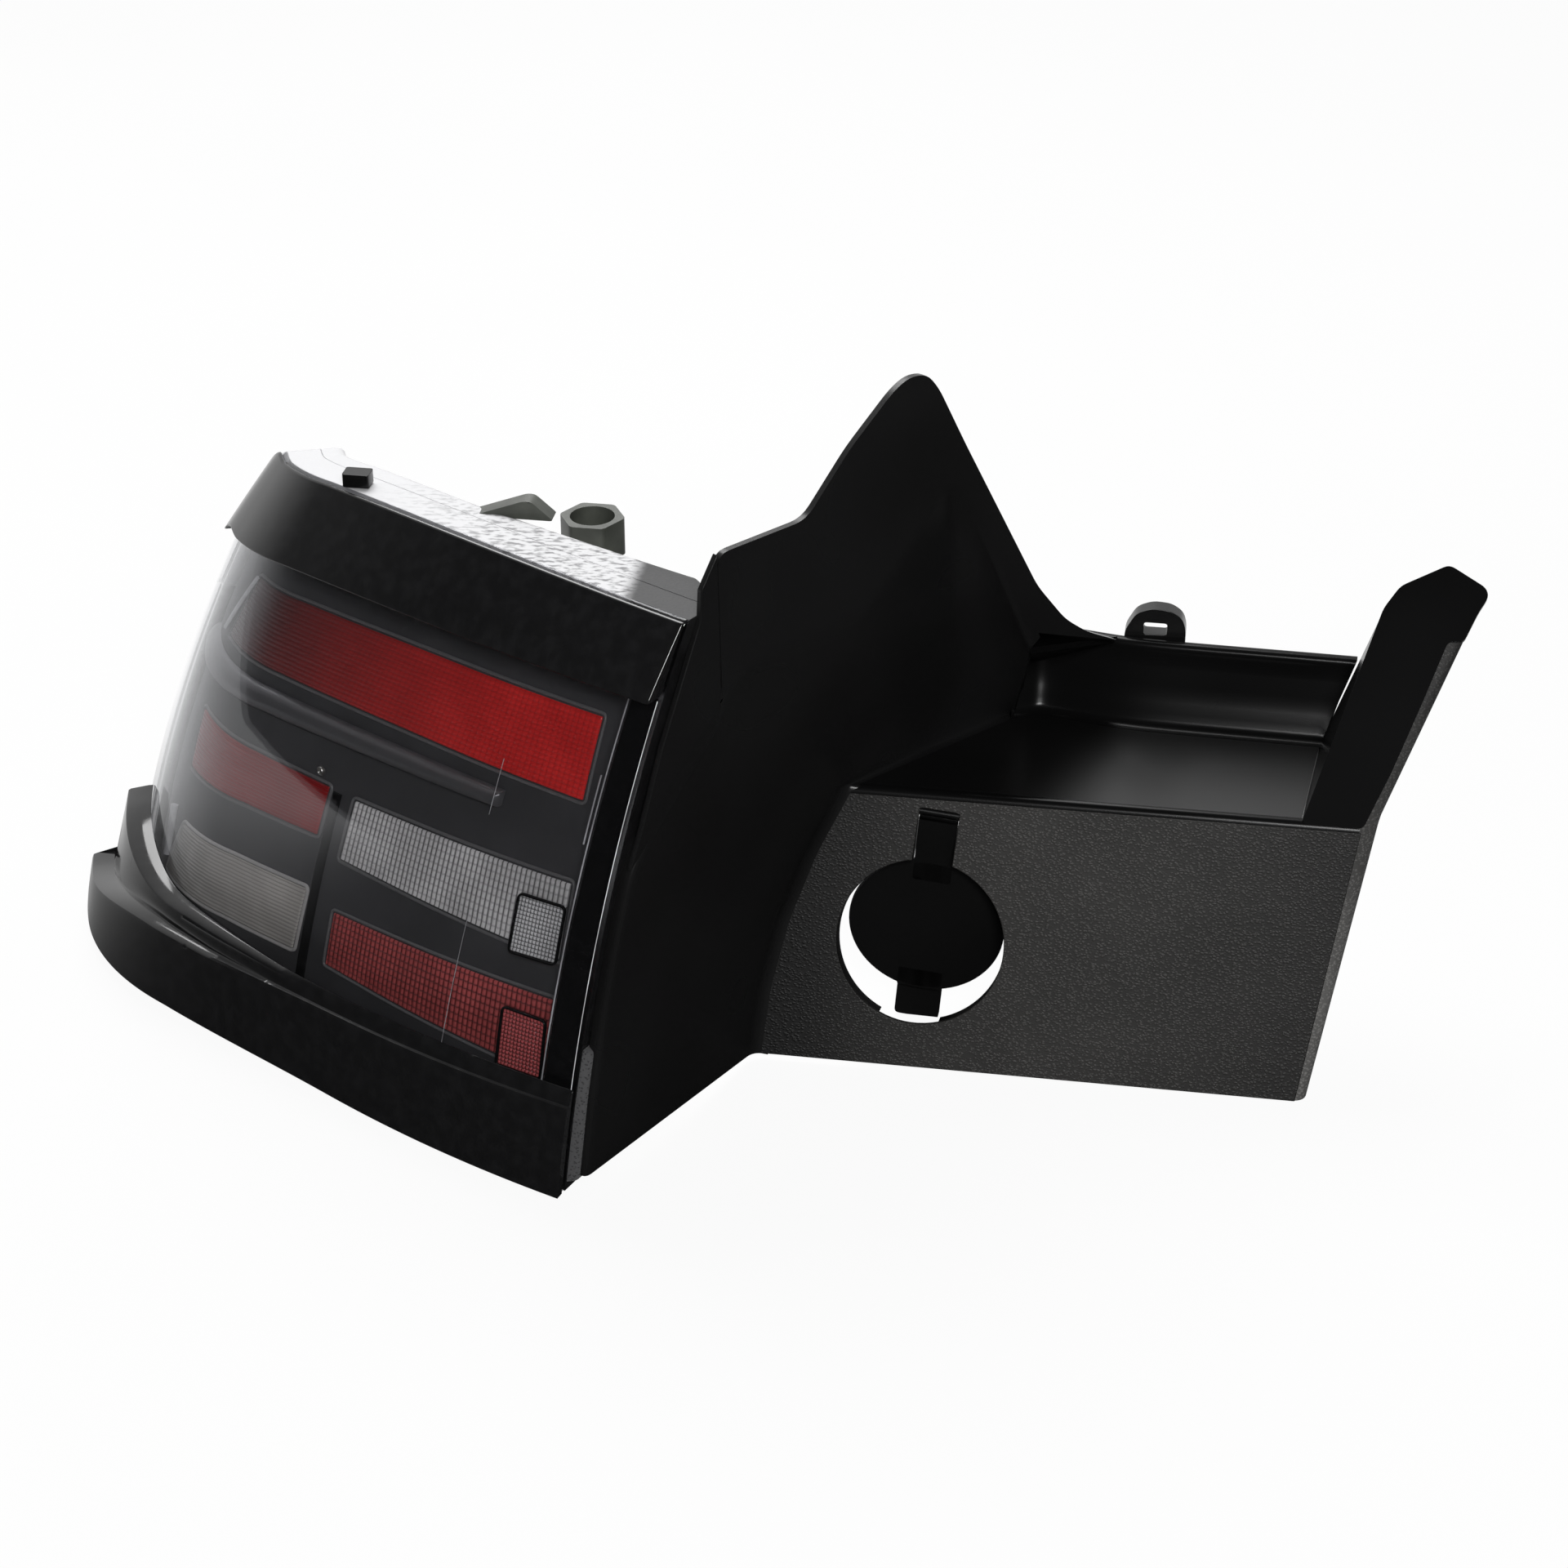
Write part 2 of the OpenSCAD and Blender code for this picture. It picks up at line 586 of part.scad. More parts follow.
// Plane of the flange: local x along it, y up its face, z out of it
flange_heading = 49;
flange_lean = 2;
flange_at = seam_line(1);
flange_along = [cos(flange_heading), sin(flange_heading), 0];
flange_out = [sin(flange_heading) * cos(flange_lean), -cos(flange_heading) * cos(flange_lean), sin(flange_lean)];
flange_up = cross(flange_out, flange_along);
function flange_point(p) = flange_at + p[0] * flange_along + p[1] * flange_up;
module on_flange() { translate(flange_at) rotate([90 - flange_lean, 0, flange_heading]) children(); }

// Sheet of flank and bowl, lofted from the seam and the rim of the flange to
// the left edge of the panel and the shelf
rim_outline = [[7, -37], [19.5, -23], [44.5, -21], [73.5, -21], [96.5, 1], [112, 17], [126, -2], [152.5, -60]];
// The rim of the sheet runs inside the flange, so that the two make one piece
rim_sink = 0.4;
rim = [for (p = rim_outline) flange_point(p) - rim_sink * flange_out];
seam_low = 0.035;
seam_up = 0.62;
function seam_line(v) = beside(v, 3, mix(foam_out_low, foam_out_high, v) + seat + wall);
function panel_point(x, y) = [x, y * sin(panel_lean), y * cos(panel_lean)];
function ridge(s) = panel_point(panel_left(s), -s * panel_h);
shelf_back_left = [57, 66, 0];
// The sheet's edge runs inside the shelf, so that the two make one piece
into_shelf = [0.9, -0.8, -1];
loft_left = concat([for (i = [0:4]) seam_line(mix(seam_low, seam_up, i / 4))], rim);
loft_right = concat(
  [for (i = [0:4]) ridge(1 - i / 4) - [0, 0, 1]],
  [for (f = [0.12, 0.24, 0.38, 0.5, 0.62, 0.74, 0.86, 1]) shelf_back_left * f + into_shelf]
);
// Strip between the seam and the flange; its foot starts inside the sheet
strip_left = concat(
  [seam_line(seam_up - 0.03) - 0.5 * flange_out], [for (v = [0.8, 1]) seam_line(v)], [flange_point([1, 11])]
);
strip_right = [for (p = [[9.5, -41], [9, -18], [9.5, 2], [10, 22]]) flange_point(p) - 2 * rim_sink * flange_out];
function along(p, f) =
  let (n = len(p) - 1, k = min(floor(f * n), n - 1), g = f * n - k) mix(p[k], p[k + 1], g);
sink_dir = [-0.2, 0.5, -0.84];
function sheet(a, b) =
  let (in_bowl = ease((b - 0.35) / 0.35))
  mix(along(loft_left, b), along(loft_right, b), a) + bowl_sink * in_bowl * 6.75 * a * a * (1 - a) * sink_dir;

// Flange: the flat star round the bowl
star = [
  [8, 22], [46.5, 23], [66.5, 43], [86.5, 58.5], [93.5, 61.5], [101.5, 60.5], [107, 54], [119.5, 30],
  [155.5, -36], [170, -54], [181.5, -63], [200, -73]
];
module flange() {
  on_flange() translate([0, 0, -wall]) linear_extrude(wall) polygon(concat(
    star,
    [for (i = [len(rim) - 1:-1:0]) rim_outline[i] + [0.6, -0.6]]
  ));
}

module closing_panel() color([0.05, 0.05, 0.05]) from_datum() {
  difference() {
    union() {
      on_panel() translate([0, 0, -wall]) linear_extrude(wall) panel_outline();
      on_panel() translate([hole_x, -hole_drop, -collar_d]) cylinder(r = hole_r + collar_wall, h = collar_d);
      at_hinge() for (side = [-1, 1])
        translate([side * (strap_w / 2 + 2.6) - 2, -3, -2.6]) cube([4, 6, 4.2]);
      translate([0, 0, -wall]) linear_extrude(wall) polygon(concat(
        [[0, 0]], [for (p = shelf_edge) p + [0, wall / 2]], [[panel_top - 22, 0]]
      ));
      back_wall();
      post();
      outer_return();
      block(function (a, b, c) sheet(a, b) - (1 - c) * wall * flange_out, 8, 36);
      block(function (a, b, c) mix(along(strip_left, b), along(strip_right, b), a) - (1 - c) * wall * flange_out, 2, 6);
      flange();
      prism([rim[7], [62, 71, 28], [93, 71, 32]], [0, 0, -wall]);
    }
    on_panel() translate([hole_x, -hole_drop, -collar_d - 1]) cylinder(r = hole_r, h = collar_d + 2);
    at_hinge() translate([-strap_w / 2 - strap_gap, -hinge_reach, -collar_d])
      cube([strap_w + 2 * strap_gap, hinge_reach + 2.5, 2 * collar_d]);
    at_hinge() translate([-tab_w / 2 - tab_gap, -hinge_reach - hole_r - 14, hinge_back - collar_d - 1])
      cube([tab_w + 2 * tab_gap, 20, collar_d - wall + 1.2]);
    at_hinge() translate([-strap_w, 0, 0]) rotate([0, 90, 0]) cylinder(r = hinge_r + hinge_gap, h = 2 * strap_w);
  }
  ears();
}
module panel_outline() {
  polygon(concat(
    [for (i = [0:edge_steps]) [panel_left(i / edge_steps), -panel_h * i / edge_steps]],
    [[panel_low - panel_shift, -panel_h], [panel_top, 0]]
  ));
}
shelf_edge = [[57, 66], [66, shelf_d + 9], [100, shelf_d + 2], [panel_top - 16, shelf_d]];

// Wall behind the shelf, leaning like the panel, its outer end slanting to the post
back_end = 11;
module back_wall() {
  for (i = [0, 1, 2]) {
    p = shelf_edge[i];
    q = shelf_edge[i + 1];
    lean = back_h * [0, sin(panel_lean), cos(panel_lean)];
    low_p = [p[0], p[1], -1];
    low_q = [q[0], q[1], -1];
    run = (low_q - low_p) / norm(low_q - low_p);
    prism([low_p, low_q, low_q + lean + (i == 2 ? back_end : 0) * run, low_p + lean], [0, wall, 0]);
  }
}

// Post at the outer end of the shelf, leaning back further than the panel
post_lean = 45;
post_outline = [
  [panel_top - 22, -1], [panel_top, -1], [197, 21.5], [206.5, 49], [214, 72], [219.5, 72], [224.3, 84], [227.5, 90],
  [226.4, 93.5], [212.7, 101.5], [195.6, 92], [190, 83]
];
module post() {
  rotate([90 - post_lean, 0, 0]) translate([0, 0, -wall]) linear_extrude(wall) polygon(post_outline);
  prism([[panel_top - 22, 0, -1], [panel_top - 16, shelf_d + 1, -1], [190, 59, 57]], [wall, 0, 0]);
}

// Return along the outer edge of panel and post, from the foot to the head
return_in = [
  panel_point(panel_low - panel_shift - 1, 1.5 - panel_h) + [0, 0.8, 0], [panel_top - 1, 0.8, 0], [213, 51.6, 50.8]
];
return_out = [
  return_in[0] + [5, 4, 0], return_in[1] + return_w * [0.65, 0.7, 0], return_in[2] + [7, 2.5, 0]
];
module outer_return() {
  block(
    function (a, b, c) mix(along(return_in, b), along(return_out, b), a) + (1 - c) * [-1.6, 1.2, 0],
    1, 2
  );
}

// Ears that carry the closing panel on the back of the housing, and how far
// each reaches to the flank
ear_seats = [[ear_upper_at, 66], [ear_lower_at, 62]];
module ears() {
  for (ear = ear_seats) {
    at = ear[0];
    difference() {
      translate([at[0] - 9, at[1] + seat, at[2] - 9]) cube([9 + ear[1], ear_t, 18]);
      translate([at[0], at[1] - 1, at[2]]) rotate([-90, 0, 0]) cylinder(r = screw_r + 0.3, h = ear_t + 3);
    }
  }
}

module access_flap() color([0.04, 0.04, 0.04]) from_datum() {
  at_hinge() rotate([flap_open, 0, 0]) union() {
    translate([0, -hinge_reach, hinge_back - flap_t]) cylinder(r = hole_r - flap_gap, h = flap_t);
    translate([-strap_w / 2, -hinge_reach + 20, hinge_back - flap_t]) cube([strap_w, hinge_reach - 20, flap_t]);
    translate([-strap_w / 2, -2, 0]) cube([strap_w, 2, hinge_back]);
    translate([-strap_w / 2 - 3, 0, 0]) rotate([0, 90, 0]) cylinder(r = hinge_r, h = strap_w + 6);
    // Latch tab, stepped back so that it closes behind the panel
    translate([-tab_w / 2, -hinge_reach - hole_r + 2.5, hinge_back - wall - 3]) cube([tab_w, 8, wall + 3]);
    translate([-tab_w / 2, -hinge_reach - hole_r - 9, hinge_back - wall - 3]) cube([tab_w, 14, 2.4]);
  }
}

// Clip on the back of the wall behind the shelf: a plate with a rounded head and a slot
clip_x = 95.5;
clip_t = 7;
// How far the clip reaches down from the wall's upper edge
clip_drop = 14;
clip_share = (clip_x - shelf_edge[1][0]) / (shelf_edge[2][0] - shelf_edge[1][0]);
clip_y = mix(shelf_edge[1][1], shelf_edge[2][1], clip_share) + back_h * sin(panel_lean) + wall + seat;
clip_outline = [[0, 0], [23, 0], [23, 17], [21.5, 21.5], [17, 24.5], [10, 25], [4, 22.5], [0, 15]];
module retaining_clip() color([0.1, 0.1, 0.1]) from_datum()
  translate([clip_x, clip_y + clip_t, back_h * cos(panel_lean) - clip_drop]) rotate([90, 0, 0])
  linear_extrude(clip_t) difference() {
    polygon(clip_outline);
    translate([7, 14]) square([9, 5]);
  }

module panel_screws() color([0.55, 0.55, 0.52]) from_datum()
  for (at = [ear_upper_at, ear_lower_at]) translate([at[0], at[1] + seat + ear_t, at[2]]) rotate([-90, 0, 0]) {
    cylinder(r = screw_head_r, h = 3.4);
    translate([0, 0, -12]) cylinder(r = screw_r - 0.05, h = 12);
  }

outer_lens();
upper_border();
lower_border();
seam_border();
housing();
bezel();
trim_blade();
upper_tail_lens();
side_tail_lens();
turn_lens();
reverse_lens();
fog_lens();
reverse_prism();
fog_prism();
upper_tail_tray();
side_tail_tray();
turn_tray();
reverse_tray();
fog_tray();
upper_tail_board();
side_tail_board();
turn_board();
reverse_board();
fog_board();
light_chips();
driver_unit();
connector_socket();
contact_pins();
vent_cap();
bulb_holder();
body_gasket();
seam_foam();
stud_upper();
stud_lower();
locating_pin();
top_peg();
closing_panel();
access_flap();
retaining_clip();
panel_screws();
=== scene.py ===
import math

import bmesh
import bpy
import numpy as np
from mathutils import Matrix, Vector


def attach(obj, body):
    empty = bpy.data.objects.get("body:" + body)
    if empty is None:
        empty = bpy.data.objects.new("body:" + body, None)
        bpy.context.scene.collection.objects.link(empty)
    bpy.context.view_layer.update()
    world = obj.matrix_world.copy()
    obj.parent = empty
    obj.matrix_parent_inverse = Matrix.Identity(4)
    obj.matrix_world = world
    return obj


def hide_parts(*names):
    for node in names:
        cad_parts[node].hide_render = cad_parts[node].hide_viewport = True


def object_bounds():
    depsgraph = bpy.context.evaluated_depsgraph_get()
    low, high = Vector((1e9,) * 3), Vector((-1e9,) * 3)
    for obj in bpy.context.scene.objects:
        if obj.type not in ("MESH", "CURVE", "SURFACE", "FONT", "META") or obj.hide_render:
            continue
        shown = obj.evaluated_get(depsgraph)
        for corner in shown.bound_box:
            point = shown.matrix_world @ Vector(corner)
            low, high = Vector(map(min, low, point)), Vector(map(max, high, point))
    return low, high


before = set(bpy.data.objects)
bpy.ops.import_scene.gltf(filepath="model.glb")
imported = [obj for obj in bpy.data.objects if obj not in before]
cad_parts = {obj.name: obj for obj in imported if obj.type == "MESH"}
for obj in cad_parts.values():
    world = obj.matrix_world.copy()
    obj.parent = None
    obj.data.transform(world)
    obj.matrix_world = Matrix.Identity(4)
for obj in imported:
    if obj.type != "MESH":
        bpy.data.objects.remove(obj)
cad_box = [list(corner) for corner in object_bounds()]

# The lamp is laid out in millimetres from the corner where shelf, panel and flank meet.
# The seat of the upper stud is the origin of the part.
UPPER_STUD = np.array([-113.0, 12.0, 49.0])
LOWER_STUD = np.array([-141.0, -16.0, -51.0])
LOCATING_PIN = np.array([-228.0, 84.0, 2.0])
EAR_HIGH = np.array([-74.0, -22.0, 45.0])
EAR_LOW = np.array([-96.0, -44.0, -35.0])
HOLDER = np.array([-92.0, 1.0, 88.0])
GASKET = np.array([0.0, 3.0, 0.0])
MM = 0.001


# Small maths

def mixed(a, b, share):
    """Goes from a to b as share goes from 0 to 1."""
    return a + (b - a) * share


def clamped(share):
    return np.clip(share, 0.0, 1.0)


def eased(share):
    """Smooth step: 3 s squared less 2 s cubed."""
    s = clamped(share)
    return s * s * (3 - 2 * s)


def grid_shares(columns, rows):
    """Shares across and up of a grid, each as an array of rows by columns."""
    return np.meshgrid(np.linspace(0, 1, columns), np.linspace(0, 1, rows))


def unit_vectors(v):
    return v / np.maximum(np.linalg.norm(v, axis=-1, keepdims=True), 1e-9)


def grid_normals(grid):
    """Normal at each point of a grid: the cross product of its two central differences."""
    return unit_vectors(np.cross(np.gradient(grid, axis=1), np.gradient(grid, axis=0)))


def along_line(points, share):
    """Point at a share of the way along a broken line, each stretch counting the same."""
    points = np.asarray(points, float)
    at = np.asarray(share) * (len(points) - 1)
    first = np.minimum(at.astype(int), len(points) - 2)
    return mixed(points[first], points[first + 1], (at - first)[..., None])


def relaxed(line, reach):
    """Line with its bends eased: each point is the mean over reach points to each side."""
    padded = np.concatenate([
        2 * line[:1] - line[1:reach + 1][::-1], line, 2 * line[-1:] - line[-reach - 1:-1][::-1]
    ])
    weights = np.bartlett(2 * reach + 3)[1:-1]
    weights = weights / weights.sum()
    return np.stack([np.convolve(padded[:, k], weights, "valid") for k in range(line.shape[1])], 1)


def rounded_loop(corners, radius, steps=5):
    """Loop with each corner replaced by a parabola that starts radius before it."""
    corners = np.asarray(corners, float)
    before, after = np.roll(corners, 1, 0), np.roll(corners, -1, 0)
    to_before = np.linalg.norm(before - corners, axis=1)
    to_after = np.linalg.norm(after - corners, axis=1)
    start = mixed(corners, before, np.minimum(radius / to_before, 0.45)[:, None])
    end = mixed(corners, after, np.minimum(radius / to_after, 0.45)[:, None])
    t = np.linspace(0, 1, steps)[None, :, None]
    curve = (1 - t) ** 2 * start[:, None] + 2 * t * (1 - t) * corners[:, None] + t ** 2 * end[:, None]
    return curve.reshape(-1, corners.shape[1])


def circle_points(radius, count, first=0.0, last=360.0):
    """Points on a circle, from one angle to another, in degrees."""
    turn = np.radians(np.linspace(first, last, count, endpoint=abs(last - first) < 359.9))
    return np.stack([radius * np.cos(turn), radius * np.sin(turn)], 1)


# The lamp's own surface

ARC_ENDS = (0.0, 0.55, 0.85, 1.0)
LOW_EDGE = ((-80.0, -135.0), 159.0, ((198.0, -20.0), (77.0, -31.0), (64.0, -6.0)))
HIGH_EDGE = ((-43.0, -81.0), 151.0, ((178.0, -8.0), (62.0, -50.0), (45.0, -6.0)))
LENS_ROUND = 340.0
LENS_HEIGHT = 200.0
CORNER_HEIGHT = 95.0
ROUND_MM = 1 / LENS_ROUND
UP_MM = 1 / LENS_HEIGHT


def arc_share(u, arc):
    """Share of one arc that lies before u."""
    return clamped((u - ARC_ENDS[arc]) / (ARC_ENDS[arc + 1] - ARC_ENDS[arc]))


def edge_heading(edge, u):
    """Heading of an edge in degrees: its first heading and the turns so far."""
    return edge[1] + sum(turn * arc_share(u, k) for k, (length, turn) in enumerate(edge[2]))


def edge_place(edge, u):
    """Place on an edge in plan: its start and the chords of its three arcs so far."""
    place = np.zeros(np.shape(u) + (2,)) + np.array(edge[0])
    heading = edge[1]
    for k, (length, turn) in enumerate(edge[2]):
        radius, start = length / math.radians(turn), math.radians(heading)
        end = start + math.radians(turn) * arc_share(u, k)
        chord = np.stack([np.sin(end) - math.sin(start), math.cos(start) - np.cos(end)], -1)
        place = place + radius * chord
        heading += turn
    return place


def lens_skin(u, v, depth):
    """Point of the lamp at share u round from the seam, share v up and a depth behind the lens.

    In plan it lies between the lower and the upper edge by v, moved square to the heading
    between theirs, out by a crown of 4 v (1 - v) and in by the depth. Its height is linear in v.
    """
    u, v, depth = np.broadcast_arrays(*(np.asarray(x, float) for x in (u, v, depth)))
    heading = np.radians(mixed(edge_heading(LOW_EDGE, u), edge_heading(HIGH_EDGE, u), v))
    base = mixed(edge_place(LOW_EDGE, u), edge_place(HIGH_EDGE, u), v[..., None])
    out = mixed(12.0, 10.0, clamped(u / 0.7)) * 4 * v * (1 - v) - depth
    return np.stack([
        base[..., 0] - out * np.sin(heading), base[..., 1] + out * np.cos(heading),
        v * LENS_HEIGHT - CORNER_HEIGHT,
    ], -1)


def shell_skin(u, v, depth):
    """Point of a shell of the lamp, whose upper edge falls away round the outer corner."""
    fall = 0.035 * clamped(u / 0.7) ** 3 + 0.42 * eased((u - 0.74) / 0.26)
    return lens_skin(u, v * (1 - fall), depth)


def beside_seam(v, depth, out):
    """Point beside the seam, out from the end of the lamp along its heading."""
    heading = np.radians(mixed(159.0, 151.0, np.asarray(v, float)))
    away = np.stack([np.cos(heading), np.sin(heading), 0 * heading], -1)
    return lens_skin(0.0, v, depth) - np.asarray(out)[..., None] * away


def step_out(u):
    """How far the bezel and the light units come forward towards the outer side."""
    return 7.5 * eased((u - 0.3) / 0.5)


def window_place(window, a, b, depth, grow=0.0):
    """Point in a window whose four corners are shares round and up, mixed by a and b."""
    w = np.asarray(window, float)
    a, b = np.broadcast_arrays(np.asarray(a, float), np.asarray(b, float))
    low, high = mixed(w[0], w[2], a[..., None]), mixed(w[1], w[3], a[..., None])
    at = mixed(low, high, b[..., None])
    u = at[..., 0] + (2 * a - 1) * grow * ROUND_MM
    v = at[..., 1] + (2 * b - 1) * grow * UP_MM
    return lens_skin(u, v, depth - step_out(u))


def window_size(window):
    """Width and height of a window in millimetres, between the middles of its sides."""
    p = [window_place(window, a, b, 15.0) for a, b in ((0, 0.5), (1, 0.5), (0.5, 0), (0.5, 1))]
    return np.linalg.norm(p[1] - p[0]), np.linalg.norm(p[3] - p[2])


# Solids: points, faces of three or four corners, and the surface's own coordinates

def grid_faces(rows, columns, start=0):
    j, i = np.meshgrid(np.arange(rows - 1), np.arange(columns - 1), indexing="ij")
    p = start + (j * columns + i).ravel()
    return np.stack([p, p + 1, p + columns + 1, p + columns], 1)


def walled(front, back):
    """Wall between two grids of the same size, closed round their edges."""
    rows, columns = front.shape[:2]
    count = rows * columns
    index = np.arange(count).reshape(rows, columns)
    ring = np.concatenate([index[0, :-1], index[:-1, -1], index[-1, :0:-1], index[:0:-1, 0]])
    after = np.roll(ring, -1)
    faces = grid_faces(rows, columns)
    sides = np.stack([after, ring, ring + count, after + count], 1)
    points = np.concatenate([front.reshape(-1, 3), back.reshape(-1, 3)])
    return points, [faces, faces[:, ::-1] + count, sides]


def swept(rings, capped=True):
    """Tube through rings of points, one ring after another, closed at both ends."""
    count, around = rings.shape[:2]
    j, i = np.meshgrid(np.arange(count - 1), np.arange(around), indexing="ij")
    p, q = (j * around + i).ravel(), (j * around + (i + 1) % around).ravel()
    faces = [np.stack([p, q, q + around, p + around], 1)]
    points = rings.reshape(-1, 3)
    if capped:
        ends = np.stack([rings[0].mean(0), rings[-1].mean(0)])
        first, k = len(points), np.arange(around)
        after, last = (k + 1) % around, (count - 1) * around
        faces.append(np.stack([k, np.full(around, first), after], 1))
        faces.append(np.stack([last + k, last + after, np.full(around, first + 1)], 1))
        points = np.concatenate([points, ends])
    return points, faces


def turned(profile, sides=48):
    """Profile of radius and height turned about the z axis. Its ends close on the axis."""
    profile = np.asarray(profile, float)
    turn = np.linspace(0, 2 * math.pi, sides, endpoint=False)
    rings = np.stack([
        profile[:, :1] * np.cos(turn), profile[:, :1] * np.sin(turn), profile[:, 1:] + 0 * turn
    ], -1)
    return swept(rings)


def turned_ring(profile, sides=64, first=0.0, last=360.0):
    """Closed profile of radius and height turned about the z axis, all round or in part."""
    profile = np.asarray(profile, float)
    whole = last - first > 359.9
    turn = np.radians(np.linspace(first, last, sides, endpoint=not whole))
    rings = np.stack([
        np.cos(turn)[:, None] * profile[:, 0], np.sin(turn)[:, None] * profile[:, 0],
        0 * turn[:, None] + profile[:, 1],
    ], -1)
    if whole:
        rings = np.concatenate([rings, rings[:1]])
    return swept(rings, capped=not whole)


def fill_loops(loops):
    """Triangles that fill flat loops, the first outside and the others holes."""
    shape = bmesh.new()
    for loop in loops:
        corners = [shape.verts.new((x, y, 0)) for x, y in loop]
        for k, corner in enumerate(corners):
            shape.edges.new((corner, corners[(k + 1) % len(corners)]))
    shape.verts.index_update()
    bmesh.ops.triangle_fill(shape, use_beauty=True, edges=shape.edges[:])
    triangles = np.array([[v.index for v in f.verts] for f in shape.faces])
    shape.free()
    flat = np.concatenate(loops)[triangles]
    one, two = flat[:, 1] - flat[:, 0], flat[:, 2] - flat[:, 0]
    wrong = one[:, 0] * two[:, 1] - one[:, 1] * two[:, 0] < 0
    triangles[wrong] = triangles[wrong][:, ::-1]
    return triangles


def plate(loops, low, high):
    """Flat plate between two heights, with the outline of the first loop and holes of the rest."""
    loops = [np.asarray(loop, float) for loop in loops]
    flat, count = np.concatenate(loops), sum(len(loop) for loop in loops)
    triangles = fill_loops(loops)
    points = np.concatenate([np.column_stack([flat, np.full(count, z)]) for z in (low, high)])
    faces, start = [triangles + count, triangles[:, ::-1]], 0
    for k, loop in enumerate(loops):
        x, y = loop.T
        area = np.sum(x * np.roll(y, -1) - y * np.roll(x, -1))
        p = start + np.arange(len(loop))
        q = start + (np.arange(len(loop)) + 1) % len(loop)
        if (area > 0) != (k == 0):
            p, q = q, p
        faces.append(np.stack([p, q, q + count, p + count], 1))
        start += len(loop)
    return points, faces


def brick(low, high, edge=0.6):
    """Block between two corners whose upright edges are rounded, as a plate along z."""
    (x0, y0, z0), (x1, y1, z1) = low, high
    loop = rounded_loop([(x0, y0), (x1, y0), (x1, y1), (x0, y1)], edge, 4)
    return plate([loop], z0, z1)


def placed(solid, place):
    return place(solid[0]), solid[1]


def along_y(p):
    """Points with their y and z swapped, so that a solid's z axis lies along y."""
    return np.stack([p[:, 0], p[:, 2], p[:, 1]], 1)


def upended(solid, at):
    """Solid with its z axis along y, moved to a place."""
    return placed(solid, lambda p: along_y(p) + np.asarray(at, float))


def joined(*solids):
    """Several solids as one, their points numbered on."""
    points, faces, start = [], [], 0
    for solid_points, solid_faces in solids:
        points.append(solid_points)
        faces += [f + start for f in solid_faces]
        start += len(solid_points)
    return np.concatenate(points), faces


def lipped(count, length, lip):
    """Shares and drops along a face of a given length, with the same lip at both ends.

    The lip is a list of distances in from the edge, each with its drop below the face.
    """
    inset, drop = np.array(lip, float).T
    middle = np.linspace(inset[-1], length - inset[-1], count)[1:-1]
    at = np.concatenate([inset, middle, length - inset[::-1]])
    return at / length, np.concatenate([drop, 0 * middle, drop[::-1]])


def outward(points, faces):
    """Faces turned over where the solid's volume, a sum of corner products, comes out negative."""
    volume = 0.0
    for f in faces:
        for k in range(1, f.shape[1] - 1):
            square = np.cross(points[f[:, k]], points[f[:, k + 1]])
            volume += np.einsum("ij,ij->", points[f[:, 0]], square)
    return faces if volume > 0 else [f[:, ::-1] for f in faces]


def make_piece(name, solid, finish, nodes=(), body="lamp", bevel=0.0, sharp=32.0, own=None):
    """Turns a solid into a piece in the part's frame, in metres, and gives it its finish."""
    points, faces = solid
    faces = outward(points - points.mean(0), faces)
    mesh = bpy.data.meshes.new(name)
    rows = [tuple(row) for f in faces for row in f.tolist()]
    mesh.from_pydata(((points - UPPER_STUD) * MM).tolist(), [], rows)
    mesh.validate()
    mesh.polygons.foreach_set("use_smooth", np.ones(len(mesh.polygons), bool))
    mesh.set_sharp_from_angle(angle=math.radians(sharp))
    if own is not None:
        layer = mesh.uv_layers.new(name="surface")
        corner = np.empty(len(mesh.loops), int)
        mesh.loops.foreach_get("vertex_index", corner)
        layer.data.foreach_set("uv", own[corner].ravel())
    piece = bpy.data.objects.new(name, mesh)
    bpy.context.scene.collection.objects.link(piece)
    mesh.materials.append(finish)
    if bevel:
        edge = piece.modifiers.new("edge", "BEVEL")
        edge.width, edge.segments = bevel * MM, 3
        edge.limit_method, edge.angle_limit = "ANGLE", math.radians(42)
    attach(piece, body)
    if nodes:
        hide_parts(*nodes)
    return piece


# Finishes

class Wire:
    """A shader socket that can stand in a Python expression."""

    def __init__(self, nodes, socket):
        self.nodes, self.socket = nodes, socket

    def worked(self, operation, first, second):
        return self.nodes.node("ShaderNodeMath", {"operation": operation}, {0: first, 1: second})

    def __add__(self, other):
        return self.worked("ADD", self, other)

    def __radd__(self, other):
        return self.worked("ADD", other, self)

    def __sub__(self, other):
        return self.worked("SUBTRACT", self, other)

    def __rsub__(self, other):
        return self.worked("SUBTRACT", other, self)

    def __mul__(self, other):
        return self.worked("MULTIPLY", self, other)

    def __rmul__(self, other):
        return self.worked("MULTIPLY", other, self)

    def __pow__(self, other):
        return self.worked("POWER", self, other)


